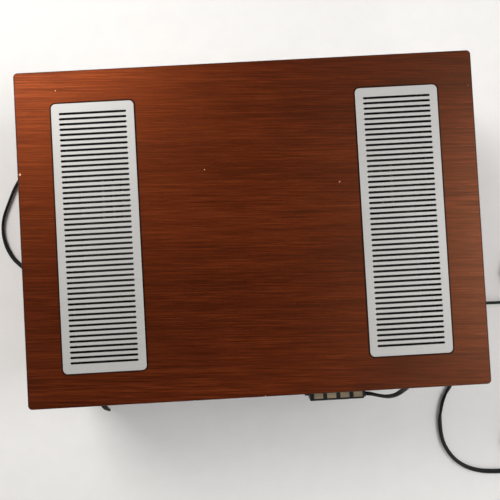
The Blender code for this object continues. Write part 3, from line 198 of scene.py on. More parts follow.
# A rib of the gland: shares of its length, and how far below the ribs the surface is there
GLAND_RIB = ((0.04, 0.001), (0.34, 0.001), (0.42, 0.0), (0.86, 0.0), (0.94, BROAD))
GLAND_FADE = 0.6
FUSE_HOLE = 0.0068
FUSE_BARREL = 0.0065
FUSE_BORE = 0.0045
FUSE_BORE_DEPTH = 0.016
FUSE_FLANGE = 0.003
FUSE_STEM = 0.0042
FUSE_RIM = 0.0007
FUSE_BAND = 0.0011
FUSE_CHAMFER = 0.0013
STUD_RADIUS = 0.002
STUD_LENGTH = 0.012
THREAD_PITCH = 0.0007
THREAD_DEPTH = 0.0003
THUMB_STEP = 0.0009
THUMB_SHOULDER_SHARE = 0.3
THUMB_CHAMFER = 0.0006
LEVERS = ["terminal_lever_" + number for number in "1234"]
LEVER_RIDGES = 6
RIDGE_HEIGHT = 0.0005
RIDGED_SHARE = 0.62
RIDGE_SHARES = (0.15, 0.55, 0.8)
LEVER_BEVEL = 0.00015
POCKET_DEPTH = 0.009
POCKET_SIDE_GAP = 0.0003
POCKET_END_GAP = 0.0006
WIRE_HOLE = 0.0016
WIRE_HOLE_DEPTH = 0.01
WIRE_HOLE_DROP = 0.0185
WIRE_HOLE_MOUTH = 0.0009
WIRE_HOLE_OVERRUN = 0.002
ENTRY_RADIUS = 0.0032
ENTRY_PLACE = (0.0, 0.1706, 0.1075)
ENTRY_LENGTH = 0.0025
BLOCK_WIDTH = 0.054
BLOCK_OVERLAP = 0.0008
EAR_HIGH = 0.106
EAR_LOW = 0.094
EAR_REAR = 0.17
SCREW_HEAD = 0.003
SCREW_DOME = 0.0016
# A screw's head in shares of its height and radius, its crest, and its cross: half its length and width,
# its floor and its rounding
SCREW_PROFILE = ((0.0, 1.0), (0.35, 1.0), (0.75, 0.86), (1.0, 0.5))
SCREW_CREST = 1.02
SCREW_CROSS = (0.55, 0.11)
CROSS_FLOOR = 0.3
CROSS_ROUND = 0.02
# Screws' places in units of 0.1 mm
REAR_SCREWS = ((-1910, 200), (-1910, 1180), (1910, 200), (1910, 1180), (-1180, 880),
               (-350, 880), (180, 445), (1180, 795), (0, 1180), (0, 200))
BASE_SCREWS = ((-1920, -750), (-1920, 0), (-1920, 750), (1920, -750), (1920, 0),
               (1920, 750), (1000, 852), (1700, 852), (-600, 300), (100, 300))

# Feet: heights and radii in units of 0.1 mm, and the height of the screws in them
FOOT_NODES = ("foot_front_left", "foot_front_right", "foot_rear_left", "foot_rear_right")
FOOT_PROFILE = ((50, 43), (3, 45), (0, 48), (0, 118), (5, 127),
                (15, 136), (30, 139), (56, 139), (60, 135), (66, 135),
                (70, 139), (114, 139), (119, 135))
FOOT_SCREW_Z = 0.0049
FOOT_SCREW_SHARE = 1.2

# Cords. A stretch that runs a smaller share than UPRIGHT_RUN along the floor counts as upright
CORD_WIDTH = 0.0052
CORD_HEIGHT = 0.0028
CORD_DROP = 0.012
CORE_RADIUS = 0.00138
CORE_OFFSET = 0.00122
CORD_GAP = 0.0003
SMOOTHING_POINTS = 4
UPRIGHT_RUN = 0.05
ROUTE_PARTS = 12
COIL_POINTS_PER_TURN = 36
COIL_PITCH = 0.0057
COIL_LAYER = 0.003
COIL_LIFT = 0.0006
COIL_LEAD_IN = 0.01
COIL_EXIT_STEP = 0.0064
COIL_EXIT_RUN = 0.012
TIE_WIDTH = 0.0032
TIE_SHEET = 0.0006
TIE_CORNER = 0.0014
# How far the flat flex tips over along its run: (share of the run, degrees)
MAINS_TILT = ((0.0, 80), (0.004, 55), (0.01, 0), (0.02, 5), (0.06, 70), (0.15, 20), (0.262, 12),
              (0.305, 70), (0.34, 62), (0.37, 48), (0.5, 10), (0.8, 25), (0.92, 70), (0.965, 76), (1.0, 0))
LEAD_TILT = ((0.0, 75), (0.03, 84), (0.06, 80), (0.25, 68), (0.42, 20), (0.52, 35), (0.57, 88),
             (0.6, 78), (0.635, 25), (0.8, 45), (1.0, 0))
# Routes in units of 0.1 mm. A point without a height lies on the floor.
# The mains flex: from the gland to the floor, out beside the case and back under it
MAINS_ROUTE = (
    (1780, 1758, 450), (1779, 1795, 450), (1774, 1836, 441), (1763, 1875, 419), (1752, 1909, 380),
    (1748, 1932, 325), (1758, 1942, 268), (1790, 1942, 210), (1842, 1930, 156), (1910, 1902, 110),
    (2030, 1844, 58), (2125, 1788, 36), (2230, 1712), (2335, 1590), (2415, 1430), (2465, 1220),
    (2496, 980), (2535, 740), (2602, 525), (2695, 350), (2798, 226), (2896, 122), (2974, -30),
    (3010, -209), (2989, -383), (2916, -573), (2831, -755), (2725, -893), (2585, -980), (2420, -1010),
    (2200, -985), (1850, -868), (1250, -610), (400, -195), (-500, 250), (-1450, 647), (-2150, 870),
    (-2640, 972), (-2895, 984), (-3340, 990),
)
# The speaker lead: from the terminal block to the floor, round behind the case and away
LEAD_ROUTE = (
    (-1065, 1706, 1075), (-1098, 1708, 1075), (-1146, 1723, 1067), (-1212, 1747, 1037),
    (-1290, 1774, 982), (-1368, 1795, 905), (-1443, 1811, 808), (-1518, 1823, 695), (-1594, 1834, 570),
    (-1672, 1845, 440), (-1752, 1848, 315), (-1835, 1834, 210), (-1922, 1796, 125), (-2003, 1750, 68),
    (-2080, 1709, 38), (-2129, 1688, 29), (-2178, 1680), (-2272, 1705), (-2341, 1774), (-2364, 1868),
    (-2335, 1962), (-2276, 2050), (-2230, 2140), (-2204, 2240), (-2184, 2350), (-2184, 2500),
    (-2208, 2640), (-2270, 2770), (-2365, 2880), (-2490, 2960), (-2640, 3008), (-2800, 3026),
    (-2960, 3030), (-3120, 3030), (-3220, 3030),
)
# Nodes, route, tilts, length, the coil's radius and turns, and the plug's height
CORDS = {
    "mains_flex": (("mains_cord", "mains_coil"), MAINS_ROUTE, MAINS_TILT, 2.0, 0.0357, 2.25, 0.00705),
    "speaker_flex": (("speaker_lead", "speaker_lead_coil"), LEAD_ROUTE, LEAD_TILT, 1.5, 0.0354, 2.75, 0.0072),
}

# Plugs. The mains plug's sections: share of its length, width and thickness
PLUG_LENGTH = 0.034
PLUG_SECTIONS = ((0.0, 0.0112, 0.008), (0.06, 0.0118, 0.0086), (0.16, 0.018, 0.0108),
                 (0.27, 0.0255, 0.013), (0.36, 0.0296, 0.0137), (0.46, 0.0308, 0.0137),
                 (0.49, 0.0296, 0.0129), (0.54, 0.0299, 0.0129), (0.57, 0.032, 0.0137),
                 (0.64, 0.0326, 0.0137), (0.67, 0.0312, 0.0129), (0.72, 0.0316, 0.0129),
                 (0.75, 0.0335, 0.0137), (0.94, 0.0352, 0.0137), (0.985, 0.0349, 0.0134),
                 (1.0, 0.0338, 0.0124))
PLUG_CORNER_SHARE = 0.36
PIN_RADIUS = 0.002
PIN_LENGTH = 0.019
PIN_SLEEVE = 0.009
PIN_SLEEVE_SHARE = 0.96
PIN_SPACING = 0.0186
# A pin's rounded end: how far back from the tip, and the share of its radius there
PIN_END = ((0.0014, 1.0), (0.0006, 0.86), (0.0001, 0.5))
# The speaker plug's body in units of 0.1 mm: along, radius, and 1 where it is fluted
DIN_PROFILE = ((0, 37), (4, 41), (8, 43), (20, 43), (22, 38), (28, 38), (30, 46), (42, 46), (44, 41),
               (50, 41), (52, 49), (64, 49), (66, 44), (72, 44), (74, 52), (86, 52), (88, 47), (94, 47),
               (108, 64), (114, 70), (150, 70), (152, 70, 1), (288, 70, 1), (290, 70), (335, 70), (340, 65),
               (340, 4))
DIN_PIN_CHAMFER = 0.001
DIN_PIN_RADIUS = 0.0015
DIN_PIN_LENGTH = 0.008
DIN_BLADE = (0.0016, 0.006)
DIN_PIN_SPACING = 0.0058

# Finishes
CHIP_COLOUR = (0.72, 0.42, 0.24)
# How strongly the painted shade darkens the wood's rounded outer edges and the gaps round the grilles
EDGE_SHADE_SHARE = 0.65
BOARD_PARTS_Z = 0.0237
# Name, colour, roughness, metallic, fineness, contrast, depth of the orange peel, other settings
MOTTLED = (
    ("zinc_steel", (0.5, 0.5, 0.47), 0.36, 1.0, 260.0, 0.09, 0.00001),
    ("black_enamel", (0.018, 0.018, 0.019), 0.42, 0.0, 700.0, 0.2, 0.00004),
    ("foot_rubber", (0.018, 0.018, 0.018), 0.75, 0.0, 900.0, 0.25, 0.00003),
    ("satin_aluminium", (0.7, 0.7, 0.69), 0.3, 1.0, 1800.0, 0.05, 0.000004),
    ("nickel_plate", (0.62, 0.6, 0.56), 0.22, 1.0, 700.0, 0.12, 0.000006),
    ("shaft_brass", (0.66, 0.47, 0.2), 0.28, 1.0, 600.0, 0.14, 0.000006),
    ("moulded_black", (0.009, 0.009, 0.0095), 0.42, 0.0, 1400.0, 0.2, 0.000015, {"Specular IOR Level": 0.35}),
    ("lever_cream", (0.36, 0.285, 0.18), 0.48, 0.0, 1200.0, 0.22, 0.00002),
    ("mark_black", (0.015, 0.015, 0.015), 0.6, 0.0, 2500.0, 0.1, 0.000004),
    ("mark_pale", (0.62, 0.61, 0.58), 0.6, 0.0, 2500.0, 0.06, 0.000004),
    ("circuit_board", (0.23, 0.12, 0.045), 0.42, 0.0, 500.0, 0.16, 0.00002),
    ("capacitor_sleeve", (0.03, 0.09, 0.28), 0.3, 0.0, 300.0, 0.1, 0.00002),
    ("insulator_white", (0.66, 0.64, 0.58), 0.4, 0.0, 900.0, 0.06, 0.00002),
    ("insulator_red", (0.5, 0.03, 0.025), 0.4, 0.0, 900.0, 0.1, 0.00002),
    ("flex_black", (0.005, 0.0055, 0.005), 0.48, 0.0, 700.0, 0.25, 0.00003, {"Specular IOR Level": 0.2}),
    ("floor", (0.87, 0.855, 0.832), 0.9, 0.0, 60.0, 0.012, 0.00005),
)
# Parts of the names of the CAD nodes that stay, by finish
INSIDE = {
    "zinc_steel": ("chassis_tray", "transistor_", "_potentiometer", "_switch"),
    "moulded_black": ("switch_bank", "capacitor_base"),
    "core_iron": ("transformer_core",),
    "winding_tape": ("transformer_winding",),
    "capacitor_sleeve": ("capacitor_left", "capacitor_right"),
    "black_enamel": ("heat_sink",),
    "populated_board": ("output_amplifier_board", "tone_control_board"),
    "shaft_brass": ("_shaft",),
}
# Every material, by its name, once it is made
FINISHES = {}


def settle(thing, **settings):
    """The thing, with its settings made."""
    for key, value in settings.items():
        setattr(thing, key, value)
    return thing


def put(name, data, **settings):
    """A new object in the scene."""
    thing = bpy.data.objects.new(name, data)
    bpy.context.scene.collection.objects.link(thing)
    return settle(thing, **settings)


# Materials

class Graph:
    """The shader nodes of a material or the world."""

    def __init__(self, owner):
        owner.use_nodes = True
        self.nodes = owner.node_tree.nodes
        self.links = owner.node_tree.links

    def connect(self, socket, value):
        if isinstance(value, bpy.types.NodeSocket):
            self.links.new(value, socket)
        else:
            socket.default_value = value

    def add(self, kind, inputs, output, **properties):
        node = settle(self.nodes.new("ShaderNode" + kind), **properties)
        for key, value in inputs.items():
            self.connect(node.inputs[key], value)
        return node.outputs[output]

    def math(self, operation, a, b=0.0):
        return self.add("Math", {0: a, 1: b}, 0, operation=operation)

    def times(self, a, b):
        return self.math("MULTIPLY", a, b)

    def vector(self, operation, a, b, output="Vector"):
        return self.add("VectorMath", {0: a, 1: b}, output, operation=operation)

    def blend(self, first, *others):
        """The sum of values times their shares."""
        total = self.times(*first)
        for layer in others:
            total = self.math("ADD", total, self.times(*layer))
        return total

    def spread(self, value, low=0.3, high=0.7, to_low=0.0, to_high=1.0):
        inputs = {"Value": value, "From Min": low, "From Max": high, "To Min": to_low, "To Max": to_high}
        return self.add("MapRange", inputs, "Result", interpolation_type="SMOOTHSTEP")

    def mix(self, factor, a, b):
        a, b = ((*c, 1.0) if isinstance(c, tuple) else c for c in (a, b))
        return self.add("Mix", {0: factor, 6: a, 7: b}, 2, data_type="RGBA")

    def ramp(self, factor, stops):
        node = self.nodes.new("ShaderNodeValToRGB")
        elements = node.color_ramp.elements
        while len(elements) < len(stops):
            elements.new(HALF)
        for element, (position, colour) in zip(elements, stops):
            settle(element, position=position, color=(*colour, 1.0))
        self.connect(node.inputs[0], factor)
        return node.outputs[0]


class Finish(Graph):
    """One material: a Principled shader and the nodes that feed it."""

    def __init__(self, name, colour, roughness, metallic=0.0, settings=()):
        FINISHES[name] = bpy.data.materials.new(name)
        super().__init__(FINISHES[name])
        plain = {"Base Color": (*colour, 1.0), "Roughness": roughness, "Metallic": metallic, **dict(settings)}
        for key, value in plain.items():
            self.feed(key, value)
        self.place = self.add("TexCoord", {}, "Object")

    def feed(self, key, value):
        self.connect(self.nodes["Principled BSDF"].inputs[key], value)

    def axis(self, name):
        return self.add("SeparateXYZ", {0: self.place}, name)

    def noise(self, scale, detail=3.0, rough=0.55, distortion=0.0, source=None):
        """Noise whose grains measure about 1 / scale along each axis."""
        scale = scale if isinstance(scale, tuple) else (scale, scale, scale)
        stretched = self.add("Mapping", {"Vector": source or self.place, "Scale": scale}, "Vector")
        inputs = {"Vector": stretched, "Scale": 1.0, "Detail": detail, "Roughness": rough,
                  "Distortion": distortion}
        return self.add("TexNoise", inputs, "Fac")

    def bump(self, height, distance, strength):
        inputs = {"Height": height, "Distance": distance, "Strength": strength}
        self.feed("Normal", self.add("Bump", inputs, "Normal"))


def tones(colour, darker, lighter):
    """The colour darkened and lightened by shares."""
    return tuple(c * (1.0 - darker) for c in colour), tuple(min(1.0, c * (1.0 + lighter)) for c in colour)


def veneer(name, along, chips=()):
    """Reddish-brown veneer with its grain along one axis, "X" or "Z", under satin lacquer."""
    wood = Finish(name, (0.1, 0.03, 0.01), 0.42, settings={"Specular IOR Level": 0.9})
    source = wood.add("Mapping", {"Vector": wood.place, "Rotation": (0.0, 0.0, GRAIN_TURN)}, "Vector")

    def grain(length, width, **settings):
        along_scale = 1.0 / length
        across = 1.0 / width
        scale = (along_scale, across, across) if along == "X" else (across, across, along_scale)
        return wood.noise(scale, source=source, **settings)

    broad = grain(0.34, 0.06, detail=2.0, distortion=0.4)
    bands = grain(0.22, 0.007, detail=2.0, distortion=0.12)
    streaks = grain(0.065, 0.0012, detail=3.0, rough=0.6, distortion=0.03)
    fibres = grain(0.032, 0.0007, detail=2.0, rough=0.6)
    tone = wood.blend((broad, 0.14), (bands, 0.13), (streaks, 0.42), (fibres, 0.31))
    colour = wood.ramp(tone, ((0.41, (0.018, 0.0031, 0.0013)), (0.47, (0.044, 0.0073, 0.0025)),
                              (0.53, (0.075, 0.013, 0.0038)), (0.62, (0.13, 0.0255, 0.0068))))
    pores = wood.spread(grain(0.009, 0.00045, detail=1.0), 0.6, 0.7)
    colour = wood.mix(wood.times(pores, 0.6), colour, (0.012, 0.003, 0.0014))
    # Painted shade: the colour and the reflection's tint go darker along the top's rounded outer edges and in
    # the gaps round the grilles, where shade falls
    across = wood.math("ABSOLUTE", wood.axis("X"))
    deep = wood.math("ABSOLUTE", wood.axis("Y"))
    rim = wood.math("MAXIMUM", wood.spread(across, CASE_WIDTH * HALF - 0.0018, CASE_WIDTH * HALF - 0.001),
                    wood.spread(deep, CASE_REAR - 0.0015, CASE_REAR - 0.0007))
    rim = wood.times(rim, wood.spread(wood.axis("Z"), CASE_TOP - 0.003, CASE_TOP - 0.0012))
    aside = wood.math("ABSOLUTE", wood.math("SUBTRACT", across, GRILLE_X))
    squares = []
    for away, half in ((aside, GRILLE_WIDTH * HALF), (deep, GRILLE_HALF_LENGTH)):
        beyond = wood.math("MAXIMUM", wood.math("SUBTRACT", away, half - GRILLE_CORNER), 0.0)
        squares.append(wood.math("POWER", beyond, 2.0))
    outside = wood.math("SUBTRACT", wood.math("SQRT", wood.math("ADD", *squares)), GRILLE_CORNER)
    rim = wood.times(wood.math("MAXIMUM", rim, wood.spread(outside, 0.001, 0.0019, 1.0, 0.0)), EDGE_SHADE_SHARE)
    colour = wood.mix(rim, colour, (0.014, 0.004, 0.002))
    # Painted reflection: the reflection's tint runs from pale orange at -X to deep orange at +X, standing in
    # for how the lamps' reflections fall on each side of the top
    sheen = wood.mix(wood.spread(wood.axis("X"), -0.21, 0.02), (1.0, 0.4, 0.19), (1.0, 0.2, 0.045))
    # The painted shade along those edges also dims the reflection's tint there
    wood.feed("Specular Tint", wood.mix(rim, sheen, (0.1, 0.04, 0.02)))
    ragged = wood.times(wood.noise(900.0, detail=1.0), 0.0009)
    for (x, y), size in chips:
        away = wood.vector("DISTANCE", wood.place, (x, y, CASE_TOP), "Value")
        chip = wood.spread(wood.math("ADD", away, ragged), size, size + 0.0003, 1.0, 0.0)
        colour = wood.mix(chip, colour, CHIP_COLOUR)
    wood.feed("Base Color", colour)
    wood.feed("Roughness", wood.spread(streaks, 0.3, 0.7, 0.44, 0.3))
    wood.bump(wood.math("SUBTRACT", wood.times(streaks, 0.5), pores), 0.00005, 0.5)


def brushed(name, colour, roughness, metallic, contrast, shade_below=None, settings=()):
    """Metal with fine brushing lines along X, and painted shade below a height where one is given: black and
    not metallic there.
    """
    metal = Finish(name, colour, roughness, metallic, settings)
    lines = metal.noise((14.0, 5200.0, 5200.0), detail=2.0, rough=0.7)
    shade = metal.spread(metal.blend((lines, 0.7), (metal.noise(22.0), 0.3)))
    tone = metal.mix(shade, *tones(colour, contrast, contrast * HALF))
    if shade_below is not None:
        # Painted shade: below the height the metal turns black and loses its metallic shine, standing in for
        # the shade inside a grille's slots
        dark = metal.spread(metal.axis("Z"), shade_below, shade_below + 0.0002, 1.0, 0.0)
        tone = metal.mix(dark, tone, (0.003, 0.003, 0.003))
        metal.feed("Metallic", metal.math("SUBTRACT", metallic, metal.times(dark, metallic)))
    metal.feed("Base Color", tone)
    metal.feed("Roughness", metal.spread(lines, 0.25, 0.75, roughness * 0.86, roughness * 1.14))
    metal.bump(lines, 0.000012, 0.5)


def spun(name, colour, roughness):
    """Bright metal off a lathe: fine rings round each piece's own middle, seen along Y."""
    metal = Finish(name, colour, roughness, 1.0)
    level = metal.vector("MULTIPLY", metal.add("TexCoord", {}, "Generated"), (1.0, 0.0, 1.0))
    reach = metal.vector("DISTANCE", level, (HALF, 0.0, HALF), "Value")
    inputs = {"W": metal.times(reach, 110.0), "Scale": 1.0, "Detail": 2.0}
    rings = metal.add("TexNoise", inputs, "Fac", noise_dimensions="1D")
    shade = metal.spread(metal.blend((rings, 0.75), (metal.noise(60.0), 0.25)))
    metal.feed("Base Color", metal.mix(shade, *tones(colour, 0.2, 0.0)))
    metal.feed("Roughness", metal.spread(rings, 0.3, 0.7, roughness * 0.75, roughness * 1.25))
    metal.bump(rings, 0.00001, 0.6)


def mottled(name, colour, roughness, metallic, fineness, contrast, depth, settings=()):
    """A painted, plated or moulded surface: fine orange peel and slight differences in tone."""
    coat = Finish(name, colour, roughness, metallic, settings)
    fine = coat.noise(fineness, detail=2.0)
    cloud = coat.noise(35.0, detail=4.0, rough=0.6)
    coat.feed("Base Color", coat.mix(coat.spread(cloud, 0.32, 0.68), *tones(colour, contrast, contrast)))
    coat.feed("Roughness", coat.spread(cloud, 0.3, 0.7, roughness * 0.88, min(1.0, roughness * 1.12)))
    coat.bump(fine, depth, 0.6)


def banded(name, surface, wave, direction, dark, light, depth):
    """A stack of sheets or turns of tape along one axis."""
    stack = Finish(name, *surface)
    inputs = {"Vector": stack.place, **dict(zip(("Scale", "Distortion", "Detail"), wave))}
    bands = stack.add("TexWave", inputs, "Fac", wave_type="BANDS", bands_direction=direction)
    stack.feed("Base Color", stack.mix(bands, dark, light))
    stack.bump(bands, depth, 0.5)


def populated_board():
    """Brown laminate, and small components of several colours above it."""
    board = Finish("populated_board", (0.2, 0.11, 0.04), 0.45)
    weave = board.spread(board.noise((260.0, 260.0, 60.0)), 0.35, 0.65)
    laminate = board.mix(weave, (0.17, 0.085, 0.03), (0.25, 0.14, 0.055))
    parts = board.ramp(board.noise((55.0, 45.0, 0.0), detail=0.0),
                       ((0.4, (0.55, 0.42, 0.24)), (0.47, (0.045, 0.1, 0.26)), (0.55, (0.36, 0.09, 0.04)),
                        (0.62, (0.08, 0.08, 0.08))))
    above = board.spread(board.axis("Z"), BOARD_PARTS_Z + FINE, BOARD_PARTS_Z + THIN)
    board.feed("Base Color", board.mix(above, laminate, parts))


def lens(name, colour):
    glass = Finish(name, colour, 0.12, settings={"Transmission Weight": 0.35, "IOR": 1.49})
    ribs = glass.spread(glass.noise(1500.0, detail=1.0))
    glass.feed("Base Color", glass.mix(ribs, colour, tuple(c * 0.7 for c in colour)))


def make_finishes():
    veneer("veneer_top", "X", CHIPS)
    veneer("veneer_side", "Z")
    # The grille gets painted shade on its slot walls from 0.3 mm below its top
    brushed("grille_metal", (0.5, 0.49, 0.47), 0.5, 0.3, 0.08, GRILLE_TOP - 0.0003)
    brushed("brushed_front", (0.6, 0.6, 0.59), 0.34, 1.0, 0.1, settings={"Anisotropic": 0.4})
    spun("turned_aluminium", (0.74, 0.74, 0.73), 0.26)
    lens("lamp_lens", (0.75, 0.09, 0.03))
    populated_board()
    banded("core_iron", ((0.16, 0.15, 0.14), 0.5, 0.7), (320.0, 0.4, 1.0), "Y", (0.07, 0.065, 0.06),
           (0.22, 0.2, 0.18), 0.0001)
    banded("winding_tape", ((0.42, 0.24, 0.07), 0.45), (34.0, 1.2, 2.0), "Z", (0.26, 0.13, 0.035),
           (0.48, 0.29, 0.09), 0.0003)
    for row in MOTTLED:
        mottled(*row)


# Shapes

def oblong(u, v, width, height, corner):
    """A rectangle round a middle: (u0, v0, u1, v1, corner radius)."""
    return (u - width * HALF, v - height * HALF, u + width * HALF, v + height * HALF, corner)


def circle(u, v, radius):
    return oblong(u, v, radius * 2, radius * 2, radius)


def rounded(outline, grow=0.0, steps=5):
    """Points round a rectangle (u0, v0, u1, v1, corner radius) that is grown on every side."""
    u0, v0, u1, v1, radius = outline
    u0, v0, u1, v1 = u0 - grow, v0 - grow, u1 + grow, v1 + grow
    radius = max(radius + grow, TINY)
    centres = ((u1 - radius, v1 - radius), (u0 + radius, v1 - radius), (u0 + radius, v0 + radius),
               (u1 - radius, v0 + radius))
    points = []
    for corner, (u, v) in enumerate(centres):
        for k in range(steps + 1):
            turn = (corner + k / steps) * QUARTER_TURN
            point = (u + radius * cos(turn), v + radius * sin(turn))
            if not any(dist(point, other) < WELD for other in (points[:1] + points[-1:])):
                points.append(point)
    return points


def edge_levels(low, high, low_round, high_round, sign=-1.0, steps=3):
    """Heights and growths up a wall with rounded edges. The sign is -1 outside and +1 in a hole."""
    levels = []
    for edge, size, way in ((low, low_round, 1), (high, high_round, -1)):
        for k in range(steps + 1 if size else 1):
            turn = QUARTER_TURN * (k / steps if way > 0 else 1 - k / steps)
            levels.append((edge + way * size * (1 - cos(turn)), sign * size * (1 - sin(turn))))
    return levels


def skin(bm, rings, capped=True):
    """Faces between successive rings of vertices, and over the two ends if they are capped."""
    for near, far in zip(rings, rings[1:]):
        for k in range(len(near)):
            m = (k + 1) % len(near)
            bm.faces.new((near[k], near[m], far[m], far[k]))
    if capped:
        bm.faces.new(rings[0])
        bm.faces.new(rings[-1])


def laid(facing, u, v, h):
    """The point (u, v) at height h of a shape that faces up (0), front (-1) or rear (1)."""
    return (u, facing * h, v) if facing else (u, v, h)


def plate(bm, outline, levels, holes, facing=0, steps=5):
    """A plate between its first and last level, with rounded corners and holes right through."""
    stacks = []
    for form, heights in [(outline, levels), *holes]:
        stacks.append([[bm.verts.new(laid(facing, u, v, height)) for u, v in rounded(form, grow, steps)]
                       for height, grow in heights])
        skin(bm, stacks[-1], False)
    bm.edges.ensure_lookup_table()
    for end in (0, -1):
        edges = [bm.edges.get((stack[end][k - 1], stack[end][k])) for stack in stacks
                 for k in range(len(stack[end]))]
        bmesh.ops.triangle_fill(bm, use_beauty=True, edges=edges)


def loft(bm, sections, facing, steps=5):
    """A closed solid through sections (outline, height), each with as many points as the next."""
    skin(bm, [[bm.verts.new(laid(facing, u, v, height)) for u, v in rounded(outline, 0.0, steps)]
              for outline, height in sections])


def on_axis(axis, along, u, v):
    """The point that lies along the axis, and at u and v on the other two in X, Y, Z order."""
    point = [u, v]
    point.insert(axis, along)
    return point


def turned(bm, spot, profile, sides=48, flutes=0, flute_depth=0.0, ring=False, axis=Y):
    """A turned shape round a line. Profile points are (along, radius) or (along, radius, fluted).

    A ring's profile goes right round its section. Otherwise its two ends are closed by flat faces.
    """
    u, v = (spot[k] for k in (X, Y, Z) if k != axis)
    rings = []
    for along, radius, *fluted in profile:
        loop = []
        for k in range(sides):
            angle = FULL_TURN * k / sides
            cut = flute_depth * (HALF - HALF * cos(flutes * angle)) if any(fluted) else 0.0
            reach = max(radius - cut, TINY)
            loop.append(bm.verts.new(on_axis(axis, along, u + reach * cos(angle),
                                             v + reach * sin(angle))))
        rings.append(loop)
    skin(bm, rings + rings[:1] if ring else rings, not ring)


def soft_box(bm, low, high, radius, segments=2):
    """A block with rounded edges."""
    made = bmesh.ops.create_cube(bm, size=1.0)["verts"]
    for vert in made:
        vert.co = [high[i] if vert.co[i] > 0 else low[i] for i in (X, Y, Z)]
    edges = list({edge for vert in made for edge in vert.link_edges})
    bmesh.ops.bevel(bm, geom=edges, offset=radius, segments=segments, profile=HALF, affect="EDGES")


def extruded(bm, axis, outline, low, high):
    """A prism of any outline along an axis; its points are (u, v) in X, Y, Z order."""
    skin(bm, [[bm.verts.new(on_axis(axis, along, u, v)) for u, v in outline] for along in (low, high)])


def shape(fill, *arguments, **settings):
    """A new bmesh holding one shape."""
    bm = bmesh.new()
    fill(bm, *arguments, **settings)
    return bm


def to_mesh(name, bm):
    """The bmesh turned into a mesh, with its normals outward."""
    bmesh.ops.recalc_face_normals(bm, faces=bm.faces)
    mesh = bpy.data.meshes.new(name)
    bm.to_mesh(mesh)
    bm.free()
    return mesh


def evaluated(thing):
    """The object's mesh as its modifiers or its letters make it."""
    bpy.context.view_layer.update()
    return thing.evaluated_get(bpy.context.evaluated_depsgraph_get()).to_mesh()


def add_copy(bm, mesh, place):
    """The mesh joined to the bmesh at a place, which is a matrix."""
    start = len(bm.verts)
    bm.from_mesh(mesh)
    bm.verts.ensure_lookup_table()
    bmesh.ops.transform(bm, matrix=place, verts=bm.verts[start:])


def make(name, bm, finish, *replaced, body="chassis", slot=None, angle=38.0, bevel=0.0):
    """The piece from a bmesh: doubled points merged, roundings shaded smooth, riding on its body."""
    bmesh.ops.remove_doubles(bm, verts=bm.verts, dist=WELD)
    mesh = to_mesh(name, bm)
    mesh.materials.append(FINISHES[finish])
    mesh.shade_smooth()
    mesh.set_sharp_from_angle(angle=radians(angle))
    piece = put(name, mesh)
    if bevel:
        settle(piece.modifiers.new("edges", "BEVEL"), width=bevel, segments=2, limit_method="ANGLE",
               angle_limit=BEVEL_ANGLE)
    piece.modifiers.new("normals", "WEIGHTED_NORMAL").keep_sharp = True
    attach(piece, body)
    if replaced:
        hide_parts(*replaced)
    return piece


def carved(solid, cuts, joined=()):
    """The bmesh of a solid with shapes joined on and then others cut away."""
    guides = [put("guide", to_mesh("guide", source)) for source in (solid, *joined, *cuts)]
    for number, guide in enumerate(guides[1:]):
        settle(guides[0].modifiers.new("step", "BOOLEAN"), object=guide,
               operation="UNION" if number < len(joined) else "DIFFERENCE")
    result = bmesh.new()
    result.from_mesh(evaluated(guides[0]))
    for guide in guides:
        mesh = guide.data
        bpy.data.objects.remove(guide)
        bpy.data.meshes.remove(mesh)
    return result


def span(node):
    """A node's lowest corner, its highest corner and its middle."""
    low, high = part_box(node)
    return low, high, (low + high) * HALF


def middle(node):
    return span(node)[2]


def metres(rows):
    """Rows of sizes in units of 0.1 mm, in metres."""
    return [tuple(value / UNITS_PER_METRE for value in row) for row in rows]


# Wooden case and grilles

def grille_outline(side):
    return oblong(side * GRILLE_X, 0.0, GRILLE_WIDTH, GRILLE_HALF_LENGTH * 2, GRILLE_CORNER)


def make_case():
    half = CASE_WIDTH * HALF
    floor = GRILLE_TOP - GRILLE_SHEET - BOARD_FIT
    outline = (-half, CASE_FRONT, half, CASE_REAR, CASE_CORNER)
    rebate = [(floor, GRILLE_SLACK), (CASE_TOP - THIN, GRILLE_SLACK), (CASE_TOP, GRILLE_SLACK + THIN)]
    opening = [(BOARD_UNDERSIDE, -GRILLE_LEDGE), (floor, -GRILLE_LEDGE)]
    wood = bmesh.new()
    for levels, inner in ((edge_levels(floor, CASE_TOP, 0, EDGE_ROUND), rebate),
                          (edge_levels(BOARD_UNDERSIDE, floor, EASED, 0), opening)):
        plate(wood, outline, levels, [(grille_outline(side), inner) for side in (-1, 1)], steps=8)
    top = make("case_top", wood, "veneer_top", "wood_top")
    top.data.materials.append(FINISHES["veneer_side"])
    for face in top.data.polygons:
        if abs(face.normal.x) > SIDEWAYS and abs(face.center.x) > half - CASE_CORNER:
            face.material_index = 1
    levels = edge_levels(CASE_BOTTOM, BOARD_UNDERSIDE - BOARD_FIT, BOARD_EDGE, EASED)
    for name, inner, outer in (("left", BOARD_WIDTH - half, -half), ("right", half - BOARD_WIDTH, half)):
        outline = (min(inner, outer), CASE_FRONT, max(inner, outer), CASE_REAR, SIDE_CORNER)
        make("case_side_" + name, shape(plate, outline, levels, []), "veneer_side", "wood_side_" + name)


